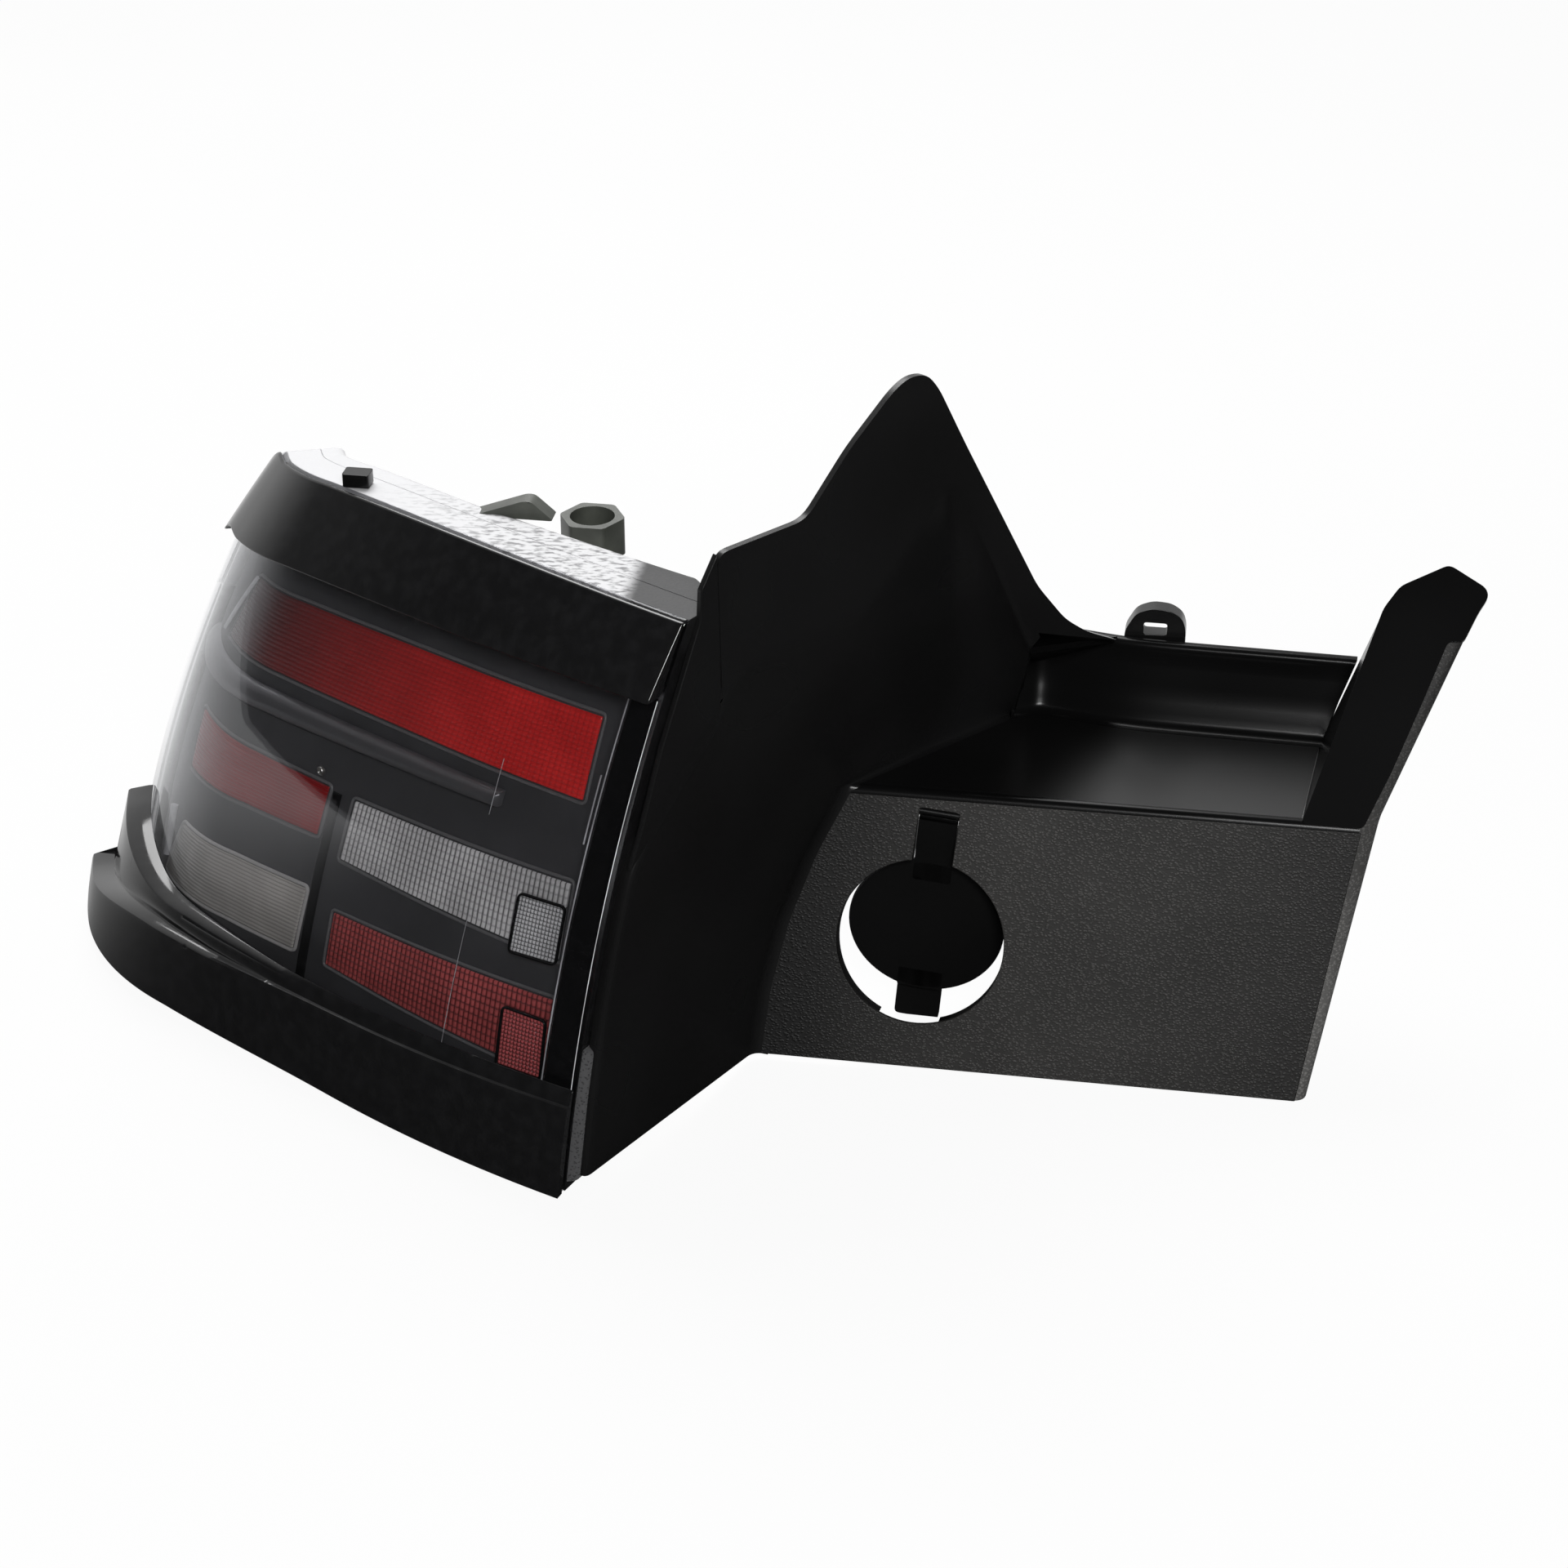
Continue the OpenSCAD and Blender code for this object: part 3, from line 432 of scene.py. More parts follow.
class Nodes:
    """Nodes of one shader tree. Each is made by the one method node."""

    def __init__(self, tree):
        self.tree = tree
        tree.nodes.clear()

    def give(self, made, sockets):
        """Sets the sockets of a node to values, or links them to wires."""
        for key, value in sockets.items():
            socket = made.inputs[key]
            if isinstance(value, Wire):
                self.tree.links.new(value.socket, socket)
            elif isinstance(value, tuple) and len(value) == 3 and len(socket.default_value) == 4:
                socket.default_value = (*value, 1.0)
            else:
                socket.default_value = value

    def node(self, kind, settings=None, sockets=None, output=0):
        """Adds a node: its settings first, then its sockets. Gives back one output."""
        made = self.tree.nodes.new(kind)
        for key, value in (settings or {}).items():
            setattr(made, key, value)
        self.give(made, sockets or {})
        return Wire(self, made.outputs[output])

    def end(self, kind, shader):
        """Adds the output node and links the shader to it."""
        self.give(self.tree.nodes.new(kind), {0: shader})

    def coordinate(self, k):
        """One object coordinate, in metres."""
        at = self.node("ShaderNodeTexCoord", output="Object")
        return self.node("ShaderNodeSeparateXYZ", {}, {"Vector": at}, output=k)

    def range(self, value, low, high, to_low=0.0, to_high=1.0):
        """Smooth step of a value between two limits."""
        sockets = {"Value": value, 1: low, 2: high, 3: to_low, 4: to_high}
        return self.node("ShaderNodeMapRange", {"interpolation_type": "SMOOTHSTEP"}, sockets)

    def larger(self, first, second):
        return self.node("ShaderNodeMath", {"operation": "MAXIMUM"}, {0: first, 1: second})

    def ray(self, kind):
        """1 for rays of one kind and 0 for others."""
        return self.node("ShaderNodeLightPath", output=kind)

    def blend(self, share, first, second):
        """Mixes two shaders by a share."""
        return self.node("ShaderNodeMixShader", {}, {0: share, 1: first, 2: second})


class Finish(Nodes):
    """A procedural material: nodes on object coordinates or on the surface's own ones."""

    def __init__(self, name, **even):
        self.material = bpy.data.materials.new(name)
        self.material.use_nodes = True
        super().__init__(self.material.node_tree)
        self.shader = self.tree.nodes.new("ShaderNodeBsdfPrincipled")
        self.surface = Wire(self, self.shader.outputs[0])
        self.output = self.tree.nodes.new("ShaderNodeOutputMaterial")
        self.give(self.output, {0: self.surface})
        self.set(**even)

    def set(self, **sockets):
        self.give(self.shader, {k.replace("_", " "): v for k, v in sockets.items()})
        return self

    def place(self, stretch=(1.0, 1.0, 1.0)):
        """Object coordinates, stretched."""
        at = self.node("ShaderNodeTexCoord", output="Object")
        return self.node("ShaderNodeMapping", {}, {"Vector": at, "Scale": stretch})

    def own(self, k):
        """One of the surface's own two coordinates, in millimetres."""
        both = self.node("ShaderNodeUVMap", {"uv_map": "surface"})
        return self.node("ShaderNodeSeparateXYZ", {}, {"Vector": both}, output=k)

    def grain(self, size_mm, detail=3.0, at=None):
        """Soft noise of about this size, from 0 to 1."""
        sockets = {"Vector": at or self.place(), "Scale": 1000 / size_mm, "Detail": detail}
        return self.node("ShaderNodeTexNoise", {}, sockets)

    def cells(self, size_mm, at=None, feature="F1"):
        """Distance to the nearest of scattered points, for pebbled grain."""
        sockets = {"Vector": at or self.place(), "Scale": 1000 / size_mm}
        return self.node("ShaderNodeTexVoronoi", {"feature": feature}, sockets)

    def shades(self, share, dark, pale):
        """Colour between two, by a share."""
        return self.node("ShaderNodeMix", {"data_type": "RGBA"}, {0: share, 6: dark, 7: pale}, output=2)

    def line(self, at, pitch, width):
        """1 at each pitch, falling to 0 at a share of the pitch to both sides."""
        away = self.node("ShaderNodeMath", {"operation": "PINGPONG"}, {0: at, 1: pitch / 2})
        return self.range(away, 0.0, pitch * width, 1.0, 0.0)

    def bump(self, height, depth_mm, strength=1.0):
        sockets = {"Height": height, "Distance": depth_mm * MM, "Strength": strength}
        return self.set(Normal=self.node("ShaderNodeBump", {}, sockets))


def gloss_black_finish():
    """Deep gloss paint, a little uneven, with faint dust in its roughness."""
    f = Finish("gloss_black", Specular_IOR_Level=0.45)
    dust = f.range(f.grain(5.0), 0.35, 0.75)
    f.set(Base_Color=f.shades(dust, (0.0065, 0.0065, 0.0068), (0.0095, 0.0095, 0.01)))
    return f.set(Roughness=0.07 + 0.06 * dust).bump(f.grain(14.0, 1.0), 0.02)


def smooth_black_finish(name, shade, level, rough):
    """Satin moulded plastic with very fine grain, a little uneven in shade."""
    f = Finish(name, Specular_IOR_Level=level)
    mottle = f.range(f.grain(60.0, 1.0), 0.2, 0.8)
    f.set(Base_Color=f.shades(mottle, (0.8 * shade,) * 3, (1.2 * shade, 1.2 * shade, 1.23 * shade)))
    return f.set(Roughness=rough + 0.03 * mottle).bump(f.grain(0.5, 2.0), 0.008)


def panel_painted_shade(f):
    """Painted shade on the panel: the share of the pale tone, less towards its left and right edges."""
    x = f.coordinate(0)
    return f.range(x, 0.085, 0.165, 0.0, 1.0) * f.range(x, 0.22, 0.31, 0.97, 0.4)


def return_painted_sheen(f):
    """Painted sheen on the outer return: the share of the pale tone, more towards its foot."""
    return f.range(f.coordinate(2), -0.13, 0.01, 1.3, 0.22)


def grained_black_finish(name, dark, pale, painted_light_share):
    """Leather-like grain: stretched cells warped by noise, their tops paled by a painted highlight."""
    f = Finish(name, Specular_IOR_Level=0.3)
    at = f.place((1.0, 1.0, 1.5))
    warp = f.node("ShaderNodeTexNoise", {}, {"Vector": at, "Scale": 520.0, "Detail": 2.0}, output=1)
    nudge = {0: warp, 1: (0.0014,) * 3, 2: at}
    moved = f.node("ShaderNodeVectorMath", {"operation": "MULTIPLY_ADD"}, nudge)
    pebbles = f.range(f.cells(1.25, moved), 0.1, 0.65, 1.0, 0.0)
    # Painted highlight: the pebbles' tops are paler, as where light falls on them.
    lit_tops = f.range(pebbles, 0.1, 0.95)
    wear = f.range(f.grain(45.0), 0.3, 0.75)
    share = painted_light_share(f) * (0.35 + 0.45 * lit_tops + 0.2 * wear)
    f.set(Base_Color=f.shades(share, dark, pale), Roughness=0.56 - 0.1 * lit_tops)
    return f.bump(pebbles, 0.12, 0.8)


def housing_finish():
    """Pale moulded plastic, sparked all over and mottled grey near the seam end.

    A band of painted shade darkens the seam end, for its end face turned from the light.
    """
    f = Finish("housing_grey", Specular_IOR_Level=0.4)
    sparks = f.grain(0.9, 4.0)
    across = f.coordinate(0)
    clouds = f.grain(1.6, 4.0, f.place((0.4, 1.0, 1.0)))
    rough = f.range(clouds, 0.46, 0.66) * f.range(across, -0.07, 0.01)
    pale = f.shades(rough, (0.58, 0.58, 0.59), (0.19, 0.19, 0.195))
    # Painted shade: a dark band for the end face at the seam end.
    end = f.range(across, 0.043, 0.05)
    f.set(Base_Color=f.shades(end, pale, (0.03, 0.03, 0.031)))
    return f.set(Roughness=0.55 + 0.15 * sparks).bump(sparks, 0.09)


def bezel_finish():
    """Dark grey satin trim behind the lens, with fine grain."""
    f = Finish("bezel_grey", Specular_IOR_Level=0.4)
    grain = f.grain(0.7, 3.0)
    mottle = f.range(f.grain(40.0), 0.3, 0.7)
    f.set(Base_Color=f.shades(mottle, (0.058, 0.058, 0.06), (0.074, 0.074, 0.077)))
    return f.set(Roughness=0.42 + 0.12 * grain).bump(grain, 0.02)


def blade_finish():
    """Brushed grey trim, its strokes running along the blade."""
    f = Finish("blade_grey", Specular_IOR_Level=0.5, Metallic=0.6)
    strokes = f.node("ShaderNodeTexNoise", {}, {
        "Vector": f.node("ShaderNodeCombineXYZ", {}, {0: 0.05 * f.own(0), 1: 3.0 * f.own(1)}),
        "Scale": 2.0, "Detail": 3.0
    })
    f.set(Base_Color=f.shades(strokes, (0.17, 0.17, 0.175), (0.27, 0.27, 0.275)))
    return f.set(Roughness=0.28 + 0.12 * strokes).bump(strokes, 0.01)


def edging_finish(name, dark, pale):
    """Satin edging round the light units."""
    f = Finish(name, Specular_IOR_Level=0.6)
    grain = f.grain(1.2)
    f.set(Base_Color=f.shades(grain, dark, pale))
    return f.set(Roughness=0.3 + 0.1 * grain)


# Pitches of the optics' ribs and flutes, in millimetres
FLUTE_PITCH = 2.25
FLUTE_RIB = 2.7
TAIL_RIB = 1.9
SIDE_RIB = 1.5
TURN_RIB = 1.7
PRISM_PITCH = 1.6

# Dull dark red of the painted shade towards an optic's outer end.
OUTER_SHADE = (0.085, 0.045, 0.045)


def unit_finish(name, deep, bright, flute_pitch, line_pitch, flute_depth, line_depth, fade=(500, 600)):
    """Moulded optic: dark lines across its height and along its width, painted shade in the valleys
    of its ribs and flutes, and a soft ripple.

    Each line fades the bright shade to the deep one by its own share of depth, and the
    whole turns dull and dark towards the outer end, a painted shade, between two distances
    from the seam end.
    """
    f = Finish(name, Specular_IOR_Level=0.5)
    across, up = f.own(0), f.own(1)
    # Painted shade: dark lines in the valleys of the ribs and flutes.
    lines = line_depth * f.line(up, line_pitch, 0.24)
    flutes = flute_depth * f.line(across, flute_pitch, 0.26)
    patch = f.range(f.grain(22.0, 2.0), 0.3, 0.75)
    share = (1 - lines) * (1 - flutes) * (0.72 + 0.28 * patch)
    shade = f.shades(share, deep, bright)
    # Painted shade: dull and dark towards the outer end.
    outer = f.range(across, fade[0], fade[1])
    f.set(Base_Color=f.shades(outer, shade, OUTER_SHADE))
    return f.set(Roughness=0.22 + 0.3 * lines)


def smoked_clear_finish():
    """Smoked clear plastic: tinted where it is looked through, and a mirror by a Fresnel share.

    The share is 0.04 face on and grows by the fifth power of how edge on the surface is.
    """
    f = Finish("smoked_clear", Metallic=1.0, Roughness=0.025, Base_Color=(0.93, 0.94, 0.95))
    facing = f.node("ShaderNodeLayerWeight", {}, {"Blend": 0.5}, output=1)
    mirror = 0.04 + 0.96 * facing ** 5
    dust = f.range(f.grain(9.0, 2.0), 0.45, 0.8)
    clear = f.node("ShaderNodeBsdfTransparent", {}, {"Color": (0.80, 0.80, 0.81)})
    f.give(f.output, {0: f.blend(mirror + 0.002 * dust, clear, f.surface)})
    return f


def glint_finish():
    """Pale ribs of painted highlight, for the glints along the lens edges."""
    f = Finish("glint_white", Specular_IOR_Level=0.8)
    glint = f.range(f.grain(22.0), 0.35, 0.65)
    f.set(Base_Color=f.shades(glint, (0.5, 0.5, 0.51), (0.85, 0.86, 0.88)))
    return f.set(Roughness=0.15 + 0.1 * glint)


def foam_finish():
    """Open foam: small dark pores in a grey body."""
    f = Finish("foam", Specular_IOR_Level=0.2, Sheen_Weight=0.2)
    pores = f.range(f.cells(1.1), 0.1, 0.5)
    f.set(Base_Color=f.shades(pores, (0.02, 0.02, 0.021), (0.06, 0.06, 0.062)))
    return f.set(Roughness=0.9 - 0.05 * pores).bump(pores, 0.2)


def rubber_finish():
    """Soft black rubber with fine specks."""
    f = Finish("rubber", Specular_IOR_Level=0.3)
    specks = f.grain(0.8, 4.0)
    f.set(Base_Color=f.shades(specks, (0.008, 0.008, 0.008), (0.02, 0.02, 0.02)))
    return f.set(Roughness=0.75 + 0.15 * specks).bump(specks, 0.05)


def moulded_finish(name, dark, pale, rough=0.5, size=1.0, depth=0.03):
    """Moulded plastic between two shades, with fine grain."""
    f = Finish(name, Specular_IOR_Level=0.4)
    grain = f.grain(size, 3.0)
    f.set(Base_Color=f.shades(f.range(f.grain(size * 14), 0.3, 0.7), dark, pale))
    return f.set(Roughness=rough - 0.05 + 0.1 * grain).bump(grain, depth)


def metal_finish(name, dark, pale, rough):
    """Plated or cut metal: clouded shade, scratches across it."""
    f = Finish(name, Metallic=1.0)
    clouds = f.range(f.grain(6.0), 0.3, 0.7)
    scratches = f.grain(0.4, 2.0, f.place((1.0, 0.08, 1.0)))
    f.set(Base_Color=f.shades(clouds, dark, pale), Roughness=rough + 0.15 * scratches)
    return f.bump(scratches, 0.008)


def board_finish():
    """Circuit board: green lacquer with paler tracks."""
    f = Finish("board_green", Specular_IOR_Level=0.5)
    tracks = f.range(f.cells(3.0, feature="DISTANCE_TO_EDGE"), 0.05, 0.09)
    f.set(Base_Color=f.shades(tracks, (0.05, 0.2, 0.09), (0.015, 0.09, 0.04)))
    return f.set(Roughness=0.3 + 0.1 * tracks).bump(tracks, 0.03)


gloss_black = gloss_black_finish().material
smooth_black = smooth_black_finish("smooth_black", 0.0045, 0.28, 0.25).material
# The flank's copy of the satin black is lighter: painted light on the flank, seam strip and star flange.
flank_lit_black = smooth_black_finish("flank_lit_black", 0.0069, 0.22, 0.25).material
flap_black = smooth_black_finish("flap_black", 0.0055, 0.14, 0.3).material
shelf_black = smooth_black_finish("shelf_black", 0.004, 0.36, 0.33).material
wall_black = smooth_black_finish("wall_black", 0.0036, 0.12, 0.2).material
# The panel's grain takes a painted shade, darker towards its left and right edges.
grained_black = grained_black_finish(
    "grained_black", (0.0015,) * 3, (0.046, 0.044, 0.0415), panel_painted_shade
).material
# The outer return's grain is made paler as a painted sheen, paler still towards its foot.
sheen_black = grained_black_finish(
    "sheen_black", (0.004,) * 3, (0.15, 0.147, 0.142), return_painted_sheen
).material
housing_grey = housing_finish().material
bezel_grey = bezel_finish().material
blade_grey = blade_finish().material
frame_line = edging_finish("frame_line", (0.13,) * 3, (0.2,) * 3).material
turn_line = edging_finish("turn_line", (0.42, 0.41, 0.39), (0.6, 0.59, 0.57)).material
tail_red = unit_finish(
    "tail_red", (0.3, 0.006, 0.007), (1.0, 0.045, 0.042), FLUTE_PITCH, TAIL_RIB, 0.3, 0.35, (20, 185)
).material
side_red = unit_finish(
    "side_red", (0.12, 0.003, 0.004), (0.36, 0.016, 0.018), 4.0, SIDE_RIB, 0.05, 0.4
).material
fog_red = unit_finish(
    "fog_red", (0.06, 0.012, 0.012), (0.74, 0.15, 0.145), FLUTE_PITCH, FLUTE_RIB, 0.85, 0.7
).material
reverse_clear = unit_finish(
    "reverse_clear", (0.04, 0.04, 0.04), (0.97, 0.96, 0.94), FLUTE_PITCH, FLUTE_RIB, 0.85, 0.4
).material
turn_clear = unit_finish(
    "turn_clear", (0.16, 0.15, 0.135), (0.74, 0.71, 0.65), 30.0, TURN_RIB, 0.1, 0.6
).material
prism_clear = unit_finish(
    "prism_clear", (0.02, 0.02, 0.02), (0.95, 0.95, 0.94), PRISM_PITCH, PRISM_PITCH, 0.85, 0.85
).material
prism_red = unit_finish(
    "prism_red", (0.03, 0.003, 0.004), (0.95, 0.2, 0.2), PRISM_PITCH, PRISM_PITCH, 0.85, 0.85
).material
smoked_clear = smoked_clear_finish().material
glint_white = glint_finish().material
foam = foam_finish().material
rubber = rubber_finish().material
holder_grey = moulded_finish("holder_grey", (0.045, 0.048, 0.041), (0.075, 0.08, 0.068), 0.45).material
black_plastic = moulded_finish("black_plastic", (0.008, 0.008, 0.009), (0.018, 0.018, 0.019)).material
reflector = metal_finish("reflector", (0.72, 0.72, 0.74), (0.86, 0.86, 0.88), 0.1).material
zinc_steel = metal_finish("zinc_steel", (0.42, 0.42, 0.4), (0.62, 0.62, 0.58), 0.3).material
contact_metal = metal_finish("contact_metal", (0.6, 0.45, 0.18), (0.78, 0.62, 0.3), 0.2).material
board_green = board_finish().material
chip_yellow = moulded_finish("chip_yellow", (0.75, 0.6, 0.18), (0.85, 0.78, 0.4), 0.3, 0.5).material


# Clear cover and the gloss borders on it

COVER_WALL = 2.8
RIM_DEPTH = 14.0
VISOR_END = 25 / 32
SILL_END = 28 / 32


def inset_round(inset, u):
    """Share round the lamp, drawn in by an inset in millimetres at both ends."""
    return mixed(inset * ROUND_MM, 1 - inset * ROUND_MM, u)


def inset_up(inset, v):
    """Share up the lamp, drawn in by an inset in millimetres at both ends."""
    return mixed(inset * UP_MM, 1 - inset * UP_MM, v)


def cover_solid():
    """Clear face of the lens: outer and inner grid, with a rounded lip round the outside."""
    lip = [(0, 1.6), (0.5, 0.5), (1.6, 0)]
    u, drop_u = lipped(110, LENS_ROUND, lip)
    v, drop_v = lipped(56, LENS_HEIGHT, lip)
    drop = np.maximum(drop_u[None, :], drop_v[:, None])
    outer = shell_skin(u[None, :], v[:, None], drop)
    inside_u, inside_v = inset_round(COVER_WALL, u)[None, :], inset_up(COVER_WALL, v)[:, None]
    return walled(outer, shell_skin(inside_u, inside_v, np.maximum(drop, COVER_WALL)))


def cover_rim_solid(top):
    """Side wall of the lens: one wall section carried along the top, or round the rest."""
    side = np.linspace(0, 1, 90)
    none = 0 * side
    u = 1 - side if top else np.concatenate([none, side, none + 1])
    v = none + 1 if top else np.concatenate([1 - side, none, side])
    section = ((0.0, 1.62), (0.0, RIM_DEPTH), (COVER_WALL, RIM_DEPTH), (COVER_WALL, COVER_WALL + 0.1))
    rings = [shell_skin(inset_round(inset, u), inset_up(inset, v), depth) for inset, depth in section]
    return swept(np.stack(rings, 1))


def visor_solid():
    """Gloss border along the upper edge: its lower lip stands 7.5 mm out, its top meets the lens."""
    a, b = grid_shares(100, 14)
    u = a * VISOR_END
    v = mixed(mixed(0.884, 0.857, a), 1.0, b)
    return walled(shell_skin(u, v, -mixed(7.5, 1.5, b)), shell_skin(u, v, -0.2 + 0 * b))


def sill_reach(u):
    """How far the sill stands out from the lens, in millimetres."""
    return mixed(3.0, 19.3, eased((u - 0.3) / 0.5))


def band_top(u):
    """Share up at which the sill's band ends."""
    return mixed(0.177, 0.14, clamped(u / 0.5)) - 0.07 * eased((u - 0.6) / 0.3)


def ledge_top(u):
    """Share up at which the sill's ledge ends."""
    return mixed(0.203, 0.175, clamped(u / 0.4)) + 0.035 * eased((u - 0.6) / 0.25)


def sill_solid():
    """Gloss border along the lower edge: a band, a step in to a ledge and a slope to the lens.

    Each row follows one bend of the profile, given as height and share of the reach.
    """
    u = np.linspace(0, SILL_END, 110)
    band, ledge = band_top(u), ledge_top(u)
    rows = [
        (0 * u - 0.002, 1.0), (0 * u + 0.012, 1.0), (band * 0.5, 1.0), (band - 0.008, 1.0), (band, 0.985),
        (band + 0.003, 0.9), (band + 0.004, 0.55), (band + 0.008, 0.52), (mixed(band, ledge, 0.6), 0.5),
        (ledge - 0.003, 0.5), (ledge, 0.46), (ledge + 0.006, 0.1),
    ]
    front = np.stack([lens_skin(u, v, -share * sill_reach(u)) for v, share in rows])
    back_v = [0 * u + (ledge + 0.006) * k / (len(rows) - 1) for k in range(len(rows))]
    return walled(front, np.stack([lens_skin(u, v, -0.2 + 0 * u) for v in back_v]))


def seam_band_solid():
    """Flat strip behind the lens along the seam."""
    a, b = grid_shares(12, 60)
    edge = 3.1
    u, v = (edge + a * 11) * ROUND_MM, inset_up(edge, b)
    return walled(lens_skin(u, v, edge + 0 * u), lens_skin(u, v, edge + 2 + 0 * u))


def lens_cord(points_u, points_v, depth, radius):
    """Thin round rib along a line on the lamp, its rings square to the line."""
    path = lens_skin(points_u, points_v, depth)
    ahead = unit_vectors(np.gradient(path, axis=0))
    side = unit_vectors(np.cross(ahead, np.array([0.3, -0.9, 0.2])))
    other = np.cross(ahead, side)
    turn = np.linspace(0, 2 * math.pi, 8, endpoint=False)[None, :, None]
    rings = path[:, None] + radius * (np.cos(turn) * side[:, None] + np.sin(turn) * other[:, None])
    return swept(rings)


def seam_glint_solid():
    """Thin bright rib beside the seam band, a painted highlight."""
    v = np.linspace(0.19, 0.86, 60)
    return lens_cord(0.0455 + 0 * v, v, 4.2, 0.28)


make_piece("clear_cover", cover_solid(), smoked_clear, ["outer_lens"], sharp=60)
make_piece("cover_rim", cover_rim_solid(False), gloss_black, ["outer_lens"], bevel=0.3)
make_piece("cover_top_wall", cover_rim_solid(True), housing_grey, ["outer_lens"], bevel=0.3)
make_piece("visor_border", visor_solid(), gloss_black, ["upper_border"], bevel=0.7)
make_piece("sill_border", sill_solid(), gloss_black, ["lower_border"], bevel=0.5)
make_piece("seam_band", seam_band_solid(), gloss_black, ["seam_border"], bevel=0.4)
make_piece("seam_glint", seam_glint_solid(), glint_white)


# Bezel, blade and light units

UPPER_TAIL = ((0.086, 0.643), (0.091, 0.783), (0.738, 0.613), (0.697, 0.746))
SIDE_TAIL = ((0.428, 0.387), (0.427, 0.481), (0.74, 0.349), (0.748, 0.464))
TURN = ((0.43, 0.159), (0.426, 0.286), (0.771, 0.116), (0.717, 0.246))
REVERSE = ((0.069, 0.371), (0.074, 0.508), (0.388, 0.367), (0.387, 0.48))
FOG = ((0.064, 0.155), (0.067, 0.3), (0.379, 0.165), (0.38, 0.27))
BLADE = ((0.185, 0.584), (0.185, 0.613), (0.85, 0.527), (0.85, 0.58))
REVERSE_PRISM = ((0.069, 0.371), (0.071, 0.472), (0.128, 0.362), (0.13, 0.465))
FOG_PRISM = ((0.064, 0.155), (0.068, 0.264), (0.119, 0.15), (0.122, 0.26))


def bezel_solid():
    """Bezel behind the light units' faces, following the lens at 16 mm less the step out."""
    a, b = grid_shares(150, 70)
    m = 3.25
    u = mixed(0.028, 1 - 1.3 * m * ROUND_MM, a)
    v = inset_up(m, b)
    front = shell_skin(u, v, 16.0 - step_out(u))
    return walled(front, shell_skin(u, v, 18.2 - step_out(u)))


def unit_solid(window, relief, columns, rows, front=15.2, back=20.2, edge=1.0):
    """Light unit that fills its window: a rounded lip, and a face cut back by its relief.

    The relief is a depth in millimetres at each place across and up the face.
    """
    width, height = window_size(window)
    lip = [(0, edge), (0.3 * edge, 0.3 * edge), (edge, 0)]
    a, drop_a = lipped(columns, width, lip)
    b, drop_b = lipped(rows, height, lip)
    drop = np.maximum(drop_a[None, :], drop_b[:, None])
    x, y = a[None, :] * width + 0 * drop, b[:, None] * height + 0 * drop
    cut = np.where(drop > 0, 0.0, relief(x, y, width, height))
    face = window_place(window, a[None, :], b[:, None], front + drop + cut, -0.3)
    rear = window_place(window, a[None, :], b[:, None], back + 0 * drop, -0.3)
    own = np.concatenate([np.stack([x, y], -1).reshape(-1, 2)] * 2)
    return walled(face, rear), own


def wave(at, pitch):
    """Flute: the size of a half sine at each pitch, 0 in its valleys and 1 on its tops."""
    return np.abs(np.sin(np.pi * at / pitch))


def tail_relief(x, y, width, height):
    """Fine level ribs, and upright flutes that are deepest at the seam side."""
    flutes = mixed(0.28, 0.04, clamped(x / 90)) * (1 - wave(x, FLUTE_PITCH))
    return 0.22 * (1 - wave(y, TAIL_RIB)) + flutes


def side_relief(x, y, width, height):
    """Fine level ribs."""
    return 0.2 * (1 - wave(y, SIDE_RIB))


def turn_relief(x, y, width, height):
    """Level ribs, and wide shallow flutes across them."""
    return 0.35 * (1 - wave(y, TURN_RIB)) + 0.1 * (1 - wave(x, 9.0))


def flute_relief(x, y, width, height):
    """Upright flutes, with a row of shorter ones along the foot."""
    foot = y < 0.14 * height
    short = np.where(foot, 0.35 * (1 - wave(x, FLUTE_PITCH / 2)), 0.0)
    return 0.5 * (1 - wave(x, FLUTE_PITCH)) + short


def prism_relief(x, y, width, height):
    """Small pyramids: two sets of ribs crossing."""
    return 0.45 * (1 - wave(x, PRISM_PITCH)) + 0.45 * (1 - wave(y, PRISM_PITCH))


def blade_relief(x, y, width, height):
    """Crown of 1.2 mm across the blade, by a half sine."""
    return -1.2 * np.sin(np.pi * clamped(y / height))


def level_relief(x, y, width, height):
    return 0.0 * x


def frame_solid(window, grow, width, proud, depth=16.0):
    """Raised edging round a window: a flat arch carried round its rounded outline.

    Each ring is an arch across the line, square to it and to the bezel.
    """
    w, h = window_size(window)
    corners = np.array([(-grow, -grow), (w + grow, -grow), (w + grow, h + grow), (-grow, h + grow)])
    loop = rounded_loop(corners, 2.2, 7)
    stretches = zip(loop, np.roll(loop, -1, 0))
    line = np.concatenate([
        np.linspace(first, last, 24 if np.linalg.norm(last - first) > 8 else 1, endpoint=False)
        for first, last in stretches
    ])

    def on_bezel(xy, lift):
        return window_place(window, xy[..., 0] / w, xy[..., 1] / h, depth - lift)

    path = on_bezel(line, 0.0)
    ahead = unit_vectors(np.roll(path, -1, 0) - np.roll(path, 1, 0))
    up = unit_vectors(on_bezel(line, 1.0) - path)
    side = np.cross(ahead, up)
    turn = np.linspace(0, math.pi, 7)
    arch = np.stack([np.cos(turn) * width / 2, np.sin(turn) * proud], 1)
    arch = np.concatenate([arch, [(-width / 2, -0.5), (width / 2, -0.5)]])
    rings = path[:, None] + arch[None, :, :1] * side[:, None] + arch[None, :, 1:] * up[:, None]
    return swept(np.concatenate([rings, rings[:1]]), capped=False)


def make_unit(name, window, relief, columns, rows, finish, node, slot, **size):
    """Makes a light unit in its window, with its own coordinates for its finish."""
    solid, own = unit_solid(window, relief, columns, rows, **size)
    return make_piece(name, solid, finish, [node], sharp=70, own=own)


